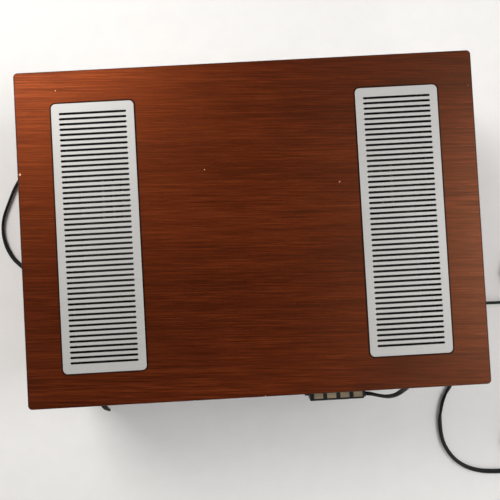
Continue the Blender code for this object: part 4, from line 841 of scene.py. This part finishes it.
def make_grilles():
    low = GRILLE_TOP - GRILLE_SHEET
    first = -SLOT_PITCH * (SLOT_COUNT - 1) * HALF
    levels = edge_levels(low, GRILLE_TOP, 0, SLOT_LIP, 1.0, 2)
    for name, side in (("left", -1), ("right", 1)):
        holes = [(oblong(side * GRILLE_X, first + SLOT_PITCH * k, SLOT_LENGTH, SLOT_WIDTH, SLOT_CORNER),
                  levels) for k in range(SLOT_COUNT)]
        metal = shape(plate, grille_outline(side), edge_levels(low, GRILLE_TOP, 0, GRILLE_ROUND), holes)
        make("slotted_grille_" + name, metal, "grille_metal", "grille_" + name)


# Front

def make_panel(name, node, front, rear, chamfer, finish, holes, facing):
    """A front or rear panel with its holes. Front and rear are measured the way it faces."""
    low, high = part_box(node)
    sheet = shape(plate, (low.x, low.z, high.x, high.z, PANEL_CORNER), edge_levels(rear, front, 0, chamfer),
                  holes, facing, 8)
    make(name, sheet, finish, node)


def bores(radii, levels):
    """Round holes at the middles of nodes."""
    return [(circle(middle(node).x, middle(node).z, radius), levels) for node, radius in radii.items()]


def make_front_plate():
    low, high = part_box("front_panel")
    drilled = edge_levels(-high.y, -low.y, 0, HOLE_EDGE, 1.0, 2)
    holes = bores({**{name + "_knob": BUSH_HOLE for name in KNOBS}, "headphone_socket": JACK_HOLE,
                   "pilot_lamp": LAMP_HOLE}, drilled)
    for name in BUTTONS:
        near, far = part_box(name + "_button")
        slack = BUTTON_SLACK
        outline = (near.x - slack, near.z - slack, far.x + slack, far.z + slack, BUTTON_CORNER + slack)
        holes.append((outline, drilled))
    make_panel("front_plate", "front_panel", -low.y, -high.y, LIP, "brushed_front", holes, -1)


def figure(bm, text, x, y, z, facing):
    """Plain numbers in raised print, read from the front (-1) or from the rear (1)."""
    curve = settle(bpy.data.curves.new("figure", "FONT"), body=text, size=FIGURE_SIZE,
                   extrude=MARK_HEIGHT * HALF, align_x="CENTER", align_y="CENTER")
    holder = put("figure", curve, location=(x, y + facing * MARK_HEIGHT * HALF, z),
                 rotation_euler=(QUARTER_TURN, 0, pi if facing > 0 else 0))
    add_copy(bm, evaluated(holder), holder.matrix_world)
    bpy.data.objects.remove(holder)
    bpy.data.curves.remove(curve)


def dial(bm, name, sweep, labels):
    """Ticks round a knob, with a number at each place that has one."""
    spot = middle(name + "_knob")
    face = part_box("front_panel")[0].y
    inner = KNOBS[name] + TICK_GAP
    outer = inner + TICK_LENGTH
    reach = KNOBS[name] + FIGURE_GAP
    for k, label in enumerate(labels):
        angle = radians(sweep * (k / (len(labels) - 1) - HALF))
        out = Vector((sin(angle), cos(angle)))
        side = Vector((out.y, -out.x)) * TICK_WIDTH * HALF
        corners = [Vector((spot.x, spot.z)) + out * along + side * across
                   for along, across in ((inner, -1), (inner, 1), (outer, 1), (outer, -1))]
        extruded(bm, Y, corners, face - MARK_HEIGHT, face)
        if label:
            figure(bm, label, spot.x + reach * sin(angle), face, spot.z + reach * cos(angle), -1)


def make_dial_marks():
    marks = bmesh.new()
    dial(marks, "volume", DIAL_TURN, [str(k) for k in range(11)])
    for name in ("bass", "treble", "balance"):
        dial(marks, name, DIAL_TURN, [str(abs(k - 5)) if k % 5 == 0 else "" for k in range(11)])
    dial(marks, "selector", SELECTOR_TURN, [str(k + 1) for k in range(5)])
    make("dial_marks", marks, "mark_black")


def make_knobs():
    for name, radius in KNOBS.items():
        low, high, spot = span(name + "_knob")
        face = low.y
        back = high.y
        skirt = back - KNOB_SKIRT
        body = radius - KNOB_STEP
        root = body - FLUTE_DEPTH
        profile = ((face + KNOB_WALL, SHAFT_HOLE), (back - KNOB_RECESS, SHAFT_HOLE),
                   (back - KNOB_RECESS, NUT_ROOM), (back, NUT_ROOM), (back, radius - EASED),
                   (back - EASED, radius), (skirt + EASED, radius), (skirt, radius - EASED), (skirt, root),
                   (skirt - EASED, root), (skirt - 2 * EASED, body, True),
                   (face + KNOB_CHAMFER + EASED, body, True), (face + KNOB_CHAMFER, root),
                   (face + EASED, body - KNOB_CHAMFER), (face, body - KNOB_CHAMFER - EASED),
                   (face, body - KNOB_LAND), (face + KNOB_DISH, body - KNOB_LAND - EASED),
                   (face + KNOB_DISH, EASED))
        metal = shape(turned, spot, profile, KNOB_SIDES, KNOB_FLUTES, FLUTE_DEPTH)
        inner = spot.z + body * POINTER_INNER_SHARE
        width = POINTER_WIDTH * HALF
        notch = shape(soft_box, (spot.x - width, face - KNOB_WALL, inner),
                      (spot.x + width, face + POINTER_DEPTH, high.z + width), FINE)
        make(name + "_turned_knob", carved(metal, [notch]), "turned_aluminium", name + "_knob", body=name,
             angle=30.0)
        bar = shape(soft_box, (spot.x - width + FINE, face + FINE, inner + FINE),
                    (spot.x + width - FINE, face + POINTER_DEPTH, spot.z + root - EASED), FINE)
        make(name + "_pointer", bar, "mark_black", body=name)


def make_buttons():
    for name in BUTTONS:
        low, high, spot = span(name + "_button")
        front = -low.y
        back = STEM_LENGTH - high.y
        stem = oblong(spot.x, spot.z, *STEM_SIZE, EASED)
        sections = [(stem, -high.y), (stem, back)]
        insets = [(-grow, height) for height, grow in edge_levels(back, front, 0, BUTTON_ROUND)]
        insets += [(BUTTON_LAND, front), (BUTTON_LAND + BUTTON_DISH, front - BUTTON_DISH)]
        sections += [((low.x + inset, low.z + inset, high.x - inset, high.z - inset, BUTTON_CORNER), height)
                     for inset, height in insets]
        make(name + "_dished_button", shape(loft, sections, -1), "satin_aluminium", name + "_button",
             body=name + "_push")


def make_headphone_socket():
    low, high, spot = span("headphone_socket")
    body = (high.x - low.x) * HALF
    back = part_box("chassis_tray")[0].y + JACK_SHOULDER
    face = low.y + EASED
    profile = ((face + JACK_BORE_DEPTH, JACK_BORE), (face + LIP, JACK_BORE), (face, JACK_BORE + EASED),
               (face, JACK_BARREL - EASED), (face + EASED, JACK_BARREL), (back, JACK_BARREL), (back, body),
               (high.y - SOFT, body), (high.y, body - SOFT))
    make("headphone_barrel", shape(turned, spot, profile), "moulded_black", "headphone_socket")
    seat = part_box("front_panel")[0].y - FINE
    inner = JACK_BARREL + FINE
    section = ((seat, inner), (seat, JACK_NUT - EASED), (seat - EASED, JACK_NUT, True),
               (low.y + JACK_CHAMFER, JACK_NUT, True), (low.y, JACK_NUT - JACK_CHAMFER),
               (low.y, inner + EASED), (low.y + EASED, inner))
    nut = shape(turned, spot, section, sides=96, flutes=24, flute_depth=EASED, ring=True)
    make("headphone_nut", nut, "nickel_plate")


def make_pilot_lamp():
    low, high, spot = span("pilot_lamp")
    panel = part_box("front_panel")[0].y
    seat = panel - LAMP_RISE
    body = LAMP_RADIUS + LAMP_SHOULDER
    profile = [(high.y, body), (high.y - LAMP_BODY, body), (high.y - LAMP_BODY, LAMP_RADIUS)]
    for k in range(LAMP_STEPS + 1):
        turn = QUARTER_TURN * k / LAMP_STEPS
        profile.append((seat - (seat - low.y) * sin(turn), LAMP_RADIUS * cos(turn) + TINY))
    make("pilot_lens", shape(turned, spot, profile), "lamp_lens", "pilot_lamp")
    inner = LAMP_RADIUS + FINE
    face = seat - LIP
    section = ((panel - FINE, inner), (panel - FINE, LAMP_BEZEL), (panel - SOFT, LAMP_BEZEL),
               (face, LAMP_BEZEL - LAMP_CHAMFER), (face, inner + THIN), (face + THIN, inner))
    make("pilot_bezel", shape(turned, spot, section, ring=True), "nickel_plate")


# Rear

def socket_places(row):
    spot = middle("phono_socket_board")
    return [(spot.x + x, 0.0, spot.z + SOCKET_Z[row]) for x in SOCKET_X]


def make_rear_plate():
    low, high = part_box("rear_panel")
    face = high.y - STUD_LENGTH
    drilled = edge_levels(low.y, face, 0, THIN, 1.0, 2)
    holes = [(circle(x, z, SOCKET_RADIUS + SOCKET_CLEARANCE), drilled)
             for x, y, z in socket_places(0) + socket_places(1)]
    holes += bores({"mains_gland": GLAND_HOLE, "fuse_holder": FUSE_HOLE}, drilled)
    make_panel("rear_plate", "rear_panel", face, low.y, EASED, "black_enamel", holes, 1)
    profile = [(face, STUD_RADIUS)]
    for k in range(int((STUD_LENGTH - 2 * THREAD_PITCH) / THREAD_PITCH)):
        y = face + THREAD_PITCH * (k + 1)
        profile += [(y, STUD_RADIUS), (y + THREAD_PITCH * HALF, STUD_RADIUS - THREAD_DEPTH)]
    profile += [(high.y - THREAD_PITCH, STUD_RADIUS), (high.y, STUD_RADIUS - THREAD_DEPTH)]
    make("earth_stud", shape(turned, middle("earth_nut"), profile, 24), "shaft_brass", angle=20.0)


def make_earth_nut():
    low, high, spot = span("earth_nut")
    outer = (high.z - low.z) * HALF
    bore = STUD_RADIUS + THIN
    waist = outer - THUMB_STEP
    shoulder = low.y + (high.y - low.y) * THUMB_SHOULDER_SHARE
    section = ((low.y, bore), (low.y, waist - EASED), (low.y + EASED, waist), (shoulder, waist),
               (shoulder + EASED, outer, True), (high.y - THUMB_CHAMFER, outer, True),
               (high.y, outer - BROAD), (high.y, bore + LIP), (high.y - LIP, bore))
    nut = shape(turned, spot, section, sides=112, flutes=28, flute_depth=LIP, ring=True)
    make("earth_thumb_nut", nut, "shaft_brass", "earth_nut", body="earth", angle=25.0)


def make_socket_board():
    low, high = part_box("phono_socket_board")
    face = low.y + CIRCUIT_BOARD
    tip = high.y
    board = shape(soft_box, low, (high.x, face, high.z), THIN)
    make("phono_board", board, "circuit_board", "phono_socket_board")
    inner = SOCKET_RADIUS - SOCKET_WALL
    edge = SOCKET_WALL * SOCKET_EDGE_SHARE
    mouth = tip - SOCKET_MOUTH
    root = face + FINE
    section = ((root, inner), (root, SOCKET_RADIUS), (tip - edge, SOCKET_RADIUS), (tip, SOCKET_RADIUS - edge),
               (tip, inner + edge), (tip - edge, inner))
    core = ((root, inner - FINE), (mouth, inner - FINE), (tip - BROAD, inner - LIP),
            (tip - BROAD, SOCKET_HOLE + EASED), (mouth, SOCKET_HOLE), (tip - SOCKET_HOLE_DEPTH, SOCKET_HOLE))
    sleeves = bmesh.new()
    for row, (name, finish) in enumerate((("lower", "insulator_red"), ("upper", "insulator_white"))):
        insulators = bmesh.new()
        for place in socket_places(row):
            turned(insulators, place, core, 40)
            turned(sleeves, place, section, ring=True)
        make(name + "_insulators", insulators, finish)
    make("phono_sleeves", sleeves, "nickel_plate")


def make_fuse():
    low, high, spot = span("fuse_holder")
    outer = (high.z - low.z) * HALF
    seat = high.y - FUSE_FLANGE
    rim = high.y
    profile = ((rim - FUSE_BORE_DEPTH, FUSE_BORE), (rim - THIN, FUSE_BORE), (rim, FUSE_BORE + THIN),
               (rim, outer - FUSE_RIM), (rim - FUSE_RIM, outer), (seat, outer), (seat, FUSE_BARREL),
               (low.y + SOFT, FUSE_BARREL), (low.y, FUSE_BARREL - SOFT))
    make("fuse_socket", shape(turned, spot, profile), "moulded_black", "fuse_holder")
    near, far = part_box("fuse_cap")
    outer = (far.z - near.z) * HALF
    seat = rim + EASED
    tip = far.y
    grip = seat + FUSE_BAND
    grip_end = tip - FUSE_BAND
    profile = ((near.y, FUSE_STEM - LIP), (near.y + LIP, FUSE_STEM), (seat, FUSE_STEM),
               (seat, outer - EASED), (seat + EASED, outer), (grip, outer), (grip + THIN, outer, True),
               (grip_end - EASED, outer, True), (grip_end, outer - EASED),
               (tip - EASED, outer - FUSE_CHAMFER + EASED), (tip, outer - FUSE_CHAMFER), (tip, EASED))
    cap = shape(turned, spot, profile, sides=120, flutes=30, flute_depth=LIP)
    slot = shape(soft_box, (spot.x - outer * HALF, tip - POINTER_WIDTH, spot.z - POINTER_WIDTH * HALF),
                 (spot.x + outer * HALF, tip + POINTER_WIDTH, spot.z + POINTER_WIDTH * HALF), FINE)
    make("fuse_carrier", carved(cap, [slot]), "moulded_black", "fuse_cap", body="fuse", angle=28.0)


def make_gland():
    """The strain relief: a flange outside, a lip inside, and a ribbed tail that tapers to the flex."""
    low, high, spot = span("mains_gland")
    panel_low, panel_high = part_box("rear_panel")
    inside = panel_low.y - EASED
    seat = panel_high.y - STUD_LENGTH + EASED
    flange = (high.z - low.z) * HALF
    neck = GLAND_HOLE - EASED
    root = seat + GLAND_FLANGE
    profile = [(low.y, neck - LIP), (low.y + GLAND_SLOPE, flange - THIN), (inside - GLAND_BARB, flange),
               (inside, flange - LIP), (inside, neck), (seat, neck), (seat, flange - EASED),
               (seat + EASED, flange), (root - BROAD, flange), (root, flange - BROAD)]
    start = flange - GLAND_STEP
    for k in range(GLAND_RIBS):
        for share, sunk in GLAND_RIB:
            along = (k + share) / GLAND_RIBS
            profile.append((root + (high.y - root) * along,
                            start + (GLAND_TIP - start) * along - sunk * (1 - GLAND_FADE * along)))
    profile.append((high.y, GLAND_TIP - EASED))
    make("ribbed_gland", shape(turned, spot, profile), "foot_rubber", "mains_gland", angle=30.0)


def make_terminal_block():
    low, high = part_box("terminal_block")
    cord_end = low.x + ENTRY_LENGTH
    ear_end = cord_end + BLOCK_WIDTH
    body = shape(soft_box, (cord_end, low.y, low.z), (ear_end, high.y, high.z), SOFT)
    profile = ((low.x, ENTRY_RADIUS - LIP), (low.x + LIP, ENTRY_RADIUS),
               (cord_end + BLOCK_OVERLAP, ENTRY_RADIUS))
    boss = shape(turned, ENTRY_PLACE, profile, 32, axis=X)
    ear = shape(soft_box, (ear_end - BLOCK_OVERLAP, low.y + FINE, EAR_LOW),
                (high.x, EAR_REAR, EAR_HIGH), SOFT)
    profile = ((high.y - WIRE_HOLE_DEPTH, WIRE_HOLE), (high.y - BROAD, WIRE_HOLE),
               (high.y + FINE, WIRE_HOLE + WIRE_HOLE_MOUTH),
               (high.y + WIRE_HOLE_OVERRUN, WIRE_HOLE + WIRE_HOLE_MOUTH))
    cuts = []
    for node in LEVERS:
        near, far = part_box(node)
        pocket = shape(soft_box, (near.x - POCKET_SIDE_GAP, near.y - POCKET_END_GAP, high.z - POCKET_DEPTH),
                       (far.x + POCKET_SIDE_GAP, far.y + POCKET_END_GAP, high.z + POCKET_DEPTH), THIN)
        hole = shape(turned, ((near.x + far.x) * HALF, 0.0, high.z - WIRE_HOLE_DROP), profile, 32)
        cuts += [pocket, hole]
    make("lever_block", carved(body, cuts, [boss, ear]), "moulded_black", "terminal_block", angle=30.0,
         bevel=LEVER_BEVEL)


def make_levers():
    for node in LEVERS:
        low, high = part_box(node)
        valley = high.z - RIDGE_HEIGHT
        pitch = (high.y - low.y) * RIDGED_SHARE / LEVER_RIDGES
        outline = [(low.y, low.z), (high.y, low.z), (high.y, valley)]
        for k in range(LEVER_RIDGES):
            y = high.y - pitch * k
            start, end, foot = (y - pitch * share for share in RIDGE_SHARES)
            outline += [(start, high.z), (end, high.z), (foot, valley)]
        outline.append((low.y, valley))
        make("ridged_lever_" + node[-1], shape(extruded, X, outline, low.x, high.x), "lever_cream", node,
             body="lever_" + node[-1], bevel=LEVER_BEVEL)


def screw(radius):
    """A pan head with a cross recess, on the XY plane and facing +Z."""
    dome = SCREW_DOME
    profile = [(dome * up, radius * out) for up, out in SCREW_PROFILE] + [(dome * SCREW_CREST, FINE)]
    cuts = [shape(soft_box, (-radius * u, -radius * v, dome * CROSS_FLOOR),
                  (radius * u, radius * v, dome * 2), radius * CROSS_ROUND, 1)
            for u, v in (SCREW_CROSS, SCREW_CROSS[::-1])]
    return carved(shape(turned, (0.0, 0.0, 0.0), profile, 32, axis=Z), cuts)


def make_screws():
    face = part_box("rear_panel")[1].y - STUD_LENGTH + FINE
    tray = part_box("chassis_tray")[0].z - FINE
    rearward = Matrix.Rotation(-QUARTER_TURN, 4, "X")
    downward = Matrix.Rotation(pi, 4, "X")
    groups = {
        "rear_screws": (SCREW_HEAD, rearward, [(x, face, z) for x, z in metres(REAR_SCREWS)]),
        "base_screws": (SCREW_HEAD, downward, [(x, y, tray) for x, y in metres(BASE_SCREWS)]),
        "foot_screws": (SCREW_HEAD * FOOT_SCREW_SHARE, downward,
                        [(*middle(node).xy, FOOT_SCREW_Z) for node in FOOT_NODES]),
    }
    for name, (radius, facing, places) in groups.items():
        mesh = to_mesh(name, screw(radius))
        bm = bmesh.new()
        for place in places:
            spin = Matrix.Rotation(random.uniform(0, FULL_TURN), 4, "Z")
            add_copy(bm, mesh, Matrix.Translation(place) @ facing @ spin)
        bpy.data.meshes.remove(mesh)
        make(name, bm, "zinc_steel")


def make_rear_marks():
    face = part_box("rear_panel")[1].y - STUD_LENGTH
    marks = bmesh.new()
    for number, (x, y, z) in zip("1234", reversed(socket_places(1))):
        figure(marks, number, x, face, z + SOCKET_FIGURE_RISE, 1)
    for number, node in zip("4321", LEVERS):
        figure(marks, number, middle(node).x, face, LEVER_FIGURE_Z, 1)
    make("rear_marks", marks, "mark_pale")


def make_feet():
    for node in FOOT_NODES:
        rubber = shape(turned, middle(node), metres(FOOT_PROFILE), 64, axis=Z)
        make("rubber_" + node, rubber, "foot_rubber", node, angle=28.0)


# Cords

def smooth_route(points, step):
    """Points about one step apart on a smooth curve through the given ones."""
    knots = [Vector(p) for p in points]
    knots = [2 * knots[0] - knots[1]] + knots + [2 * knots[-1] - knots[-2]]
    fine = []
    for a, b, c, d in zip(knots, knots[1:], knots[2:], knots[3:]):
        for k in range(ROUTE_PARTS):
            t = k / ROUTE_PARTS
            fine.append(HALF * (2 * b + (c - a) * t + (2 * a - 5 * b + 4 * c - d) * t ** 2
                                + (3 * b - a - 3 * c + d) * t ** 3))
    fine.append(knots[-2])
    lengths = [0.0]
    for a, b in zip(fine, fine[1:]):
        lengths.append(lengths[-1] + (b - a).length)
    count = max(2, int(round(lengths[-1] / step)))
    result = []
    place = 0
    for k in range(count + 1):
        target = lengths[-1] * k / count
        while place < len(fine) - 2 and lengths[place + 1] < target:
            place += 1
        gone = (target - lengths[place]) / (lengths[place + 1] - lengths[place])
        result.append(fine[place].lerp(fine[place + 1], gone))
    return result


def ease(t):
    t = min(max(t, 0.0), 1.0)
    return t * t * (3 - 2 * t)


def coil_route(start, centre, radius, turns, end_height):
    """A coil in two layers that a cord enters along -X at start: in, up a layer, and out again."""
    steps = COIL_POINTS_PER_TURN
    half = steps // 2
    quarter = steps // 4
    layer = int(round(turns * steps))
    points = [start, start + Vector((-COIL_LEAD_IN * HALF, 0, 0))]
    for k in range(2 * layer + half + quarter + 1):
        turned_by = k / steps
        inward = min(turned_by, turns + QUARTER)
        inward -= max(0.0, min(turned_by, 2 * turns + HALF) - turns - QUARTER)
        climb = ease((k - layer) / half) * COIL_LAYER + ease(turned_by * 2) * COIL_LIFT
        leaving = (k - 2 * layer - half) / quarter
        reach = radius - COIL_PITCH * inward + COIL_EXIT_STEP * ease(2 * leaving)
        height = start.z + climb
        height += (end_height - height) * ease(2 * leaving - 1)
        angle = QUARTER_TURN + FULL_TURN * turned_by
        points.append(centre + Vector((reach * cos(angle), reach * sin(angle), height)))
    points.append(points[-1] + Vector((0, -COIL_EXIT_RUN, 0)))
    return points


def tilt_at(table, share):
    """The tilt between the table's entries, eased, in radians."""
    for (s0, a), (s1, b) in zip(table, table[1:]):
        if share <= s1:
            return radians(a + (b - a) * ease((share - s0) / (s1 - s0)))
    return radians(table[-1][1])


def flex_outline():
    """The figure-eight section of a twin flex: (across, up)."""
    points = []
    waist = acos(0.8)
    for side, first in ((1, 0.0), (-1, pi)):
        for k in range(11):
            turn = -pi + waist + (FULL_TURN - 2 * waist) * k / 10 + first
            points.append((side * CORE_OFFSET + CORE_RADIUS * cos(turn), CORE_RADIUS * sin(turn)))
    return points


def flex_tube(bm, path, tilts):
    """The flex along its path. Its wide side is level where the tilt is nought."""
    last = len(path) - 1
    tangents = [(path[min(i + 1, last)] - path[max(i - 1, 0)]).normalized() for i in range(last + 1)]
    sides = []
    for tangent in tangents:
        level = Vector((tangent.y, -tangent.x, 0.0))
        if sides and level.dot(sides[-1]) < 0:
            level.negate()
        sides.append(level.normalized() if level.length > UPRIGHT_RUN else sides[-1])
    rings = []
    for i, (point, tangent) in enumerate(zip(path, tangents)):
        side = sum(sides[max(0, i - SMOOTHING_POINTS):i + SMOOTHING_POINTS + 1], Vector())
        side = (side - tangent * side.dot(tangent)).normalized()
        up = side.cross(tangent).normalized()
        across = side * cos(tilts[i]) + up * sin(tilts[i])
        over = up * cos(tilts[i]) - side * sin(tilts[i])
        rings.append([bm.verts.new(point + across * u + over * v) for u, v in flex_outline()])
    skin(bm, rings)


def coil_tie(name, centre, radius, turns):
    """A thin band round the turns of a coil, on its +X side."""
    inner = radius - COIL_PITCH * (turns + QUARTER) - CORD_WIDTH * HALF - TIE_SHEET
    outer = radius + CORD_WIDTH * HALF + TIE_SHEET * HALF
    high = 2 * CORE_RADIUS + COIL_LAYER + COIL_LIFT + TIE_SHEET + EASED
    half = TIE_WIDTH * HALF
    edge = TIE_SHEET * HALF
    levels = ((-half, -edge), (edge - half, 0.0), (half - edge, 0.0), (half, -edge),
              (half - edge, -TIE_SHEET), (edge - half, -TIE_SHEET))
    bm = bmesh.new()
    loops = [[bm.verts.new((centre.x + u, centre.y + y, v))
              for u, v in rounded((inner, FINE, outer, high, TIE_CORNER), grow, 4)] for y, grow in levels]
    skin(bm, loops + loops[:1], False)
    return make(name, bm, "moulded_black")


def make_mains_plug(end):
    """A flat two-pin plug that lies on its broad side, its pins towards -Y."""
    start = -end.y + CORD_GAP
    sections = [(oblong(end.x, end.z, width, height, height * PLUG_CORNER_SHARE), start + PLUG_LENGTH * share)
                for share, width, height in PLUG_SECTIONS]
    face = -start - PLUG_LENGTH
    sleeve = face - PIN_SLEEVE
    tip = face - PIN_LENGTH
    reach = PIN_RADIUS * PIN_SLEEVE_SHARE
    pins = bmesh.new()
    body = shape(loft, sections, -1, 6)
    for side in (-1, 1):
        spot = (end.x + side * PIN_SPACING * HALF, 0.0, end.z)
        turned(body, spot, ((face + FINE, reach), (sleeve, reach), (sleeve, LIP)), 24)
        end_round = [(tip + back, PIN_RADIUS * share) for back, share in PIN_END]
        turned(pins, spot, [(sleeve - FINE, PIN_RADIUS), *end_round, (tip, THIN)], 24)
    plug = make("mains_plug_body", body, "moulded_black", "mains_plug", angle=30.0)
    return [plug, make("mains_plug_pins", pins, "nickel_plate", slot="shaft_brass")]


def make_speaker_plug(end):
    """A round two-pole speaker plug: a ribbed sleeve on the flex, a shell, a pin and a blade."""
    start = end.y - CORD_GAP
    profile = [(start - along, *rest) for along, *rest in metres(DIN_PROFILE)]
    face = profile[-1][0]
    body = shape(turned, (end.x, 0.0, end.z), profile, sides=96, flutes=24, flute_depth=LIP)
    plug = make("speaker_plug_body", body, "moulded_black", "speaker_plug", angle=28.0)
    half = DIN_PIN_SPACING * HALF
    tip = face - DIN_PIN_LENGTH
    profile = ((face - FINE, DIN_PIN_RADIUS), (tip + DIN_PIN_CHAMFER, DIN_PIN_RADIUS),
               (tip, DIN_PIN_RADIUS * HALF))
    pins = shape(turned, (end.x - half, 0.0, end.z), profile, 24)
    width, height = DIN_BLADE
    soft_box(pins, (end.x + half - width * HALF, tip, end.z - height * HALF),
             (end.x + half + width * HALF, face - FINE, end.z + height * HALF), LIP)
    return [plug, make("speaker_plug_pins", pins, "nickel_plate", slot="shaft_brass")]


def make_cords():
    """Each cord's free run and its coil in one tube, with the coil's tie and the plug."""
    for name, (nodes, route, tilt_table, length, radius, turns, end_height) in CORDS.items():
        points = metres((*point, CORD_HEIGHT * UNITS_PER_METRE)[:3] for point in route)
        run = smooth_route(points, CORD_WIDTH)
        tilts = [tilt_at(tilt_table, i / (len(run) - 1)) for i in range(len(run))]
        for point, tilt in zip(run, tilts):
            resting = CORE_RADIUS + CORE_OFFSET * abs(sin(tilt)) + FINE
            point.z += (resting - CORD_HEIGHT) * (1 - ease((point.z - CORD_HEIGHT) / CORD_DROP))
        start = run[-1] + Vector((-CORD_GAP, 0, 0))
        centre = Vector((start.x - COIL_LEAD_IN, start.y - radius, 0))
        coil = coil_route(start, centre, radius, turns, end_height)
        path = run + coil[1:]
        tilts += [0.0] * (len(coil) - 1)
        cord = make(name, shape(flex_tube, path, tilts), "flex_black", *nodes, angle=60.0)
        tie = coil_tie(name + "_tie", centre, radius, turns)
        plug = make_mains_plug(path[-1]) if name == "mains_flex" else make_speaker_plug(path[-1])


# Camera, floor, lamps and the rest

def make_camera():
    camera = settle(bpy.data.cameras.new("camera"), lens=CAMERA_LENS, sensor_width=CAMERA_SENSOR,
                    clip_start=CAMERA_CLIP[0], clip_end=CAMERA_CLIP[1])
    bpy.context.scene.camera = put("camera", camera, location=CAMERA_PLACE,
                                   rotation_euler=[radians(turn) for turn in CAMERA_TURN])


def make_stage():
    scene = bpy.context.scene
    scene.view_settings.view_transform = "Standard"
    corners = [(u * FLOOR_SIDE, v * FLOOR_SIDE) for u, v in ((-1, -1), (1, -1), (1, 1), (-1, 1))]
    ground = put("floor", to_mesh("floor", shape(extruded, Z, corners, -FLOOR_DEPTH, 0.0)))
    ground.data.materials.append(FINISHES["floor"])
    for name, (place, aim, side, watts, colour) in LAMPS.items():
        light = settle(bpy.data.lights.new(name, "AREA"), shape="SQUARE", size=side, energy=watts,
                       color=colour)
        put(name, light, location=place, visible_camera=False,
            rotation_euler=(Vector(aim) - Vector(place)).to_track_quat("-Z", "Y").to_euler())
    scene.world = bpy.data.worlds.new("studio")
    sky = Graph(scene.world)
    rise = sky.add("SeparateXYZ", {0: sky.add("TexCoord", {}, "Generated")}, "Z")
    colour = sky.mix(sky.spread(rise, *SKY_BAND), HORIZON, ZENITH)
    sky.connect(sky.nodes["Background"].inputs["Color"], colour)


def dress_nodes(nodes):
    """Better materials for the CAD nodes that stay: the tray and what it carries inside."""
    for finish, parts in INSIDE.items():
        for node in nodes.values():
            if any(part in node.name for part in parts):
                for slot in node.material_slots:
                    slot.material = FINISHES[finish]


def main():
    random.seed(SEED)
    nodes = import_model()["nodes"]
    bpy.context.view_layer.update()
    for step in (make_camera, make_finishes, make_stage, make_cords, make_case, make_grilles,
                 make_front_plate, make_dial_marks, make_knobs, make_buttons, make_headphone_socket,
                 make_pilot_lamp, make_rear_plate, make_earth_nut, make_socket_board, make_fuse, make_gland,
                 make_terminal_block, make_levers, make_rear_marks, make_screws, make_feet):
        step()
    dress_nodes(nodes)


main()
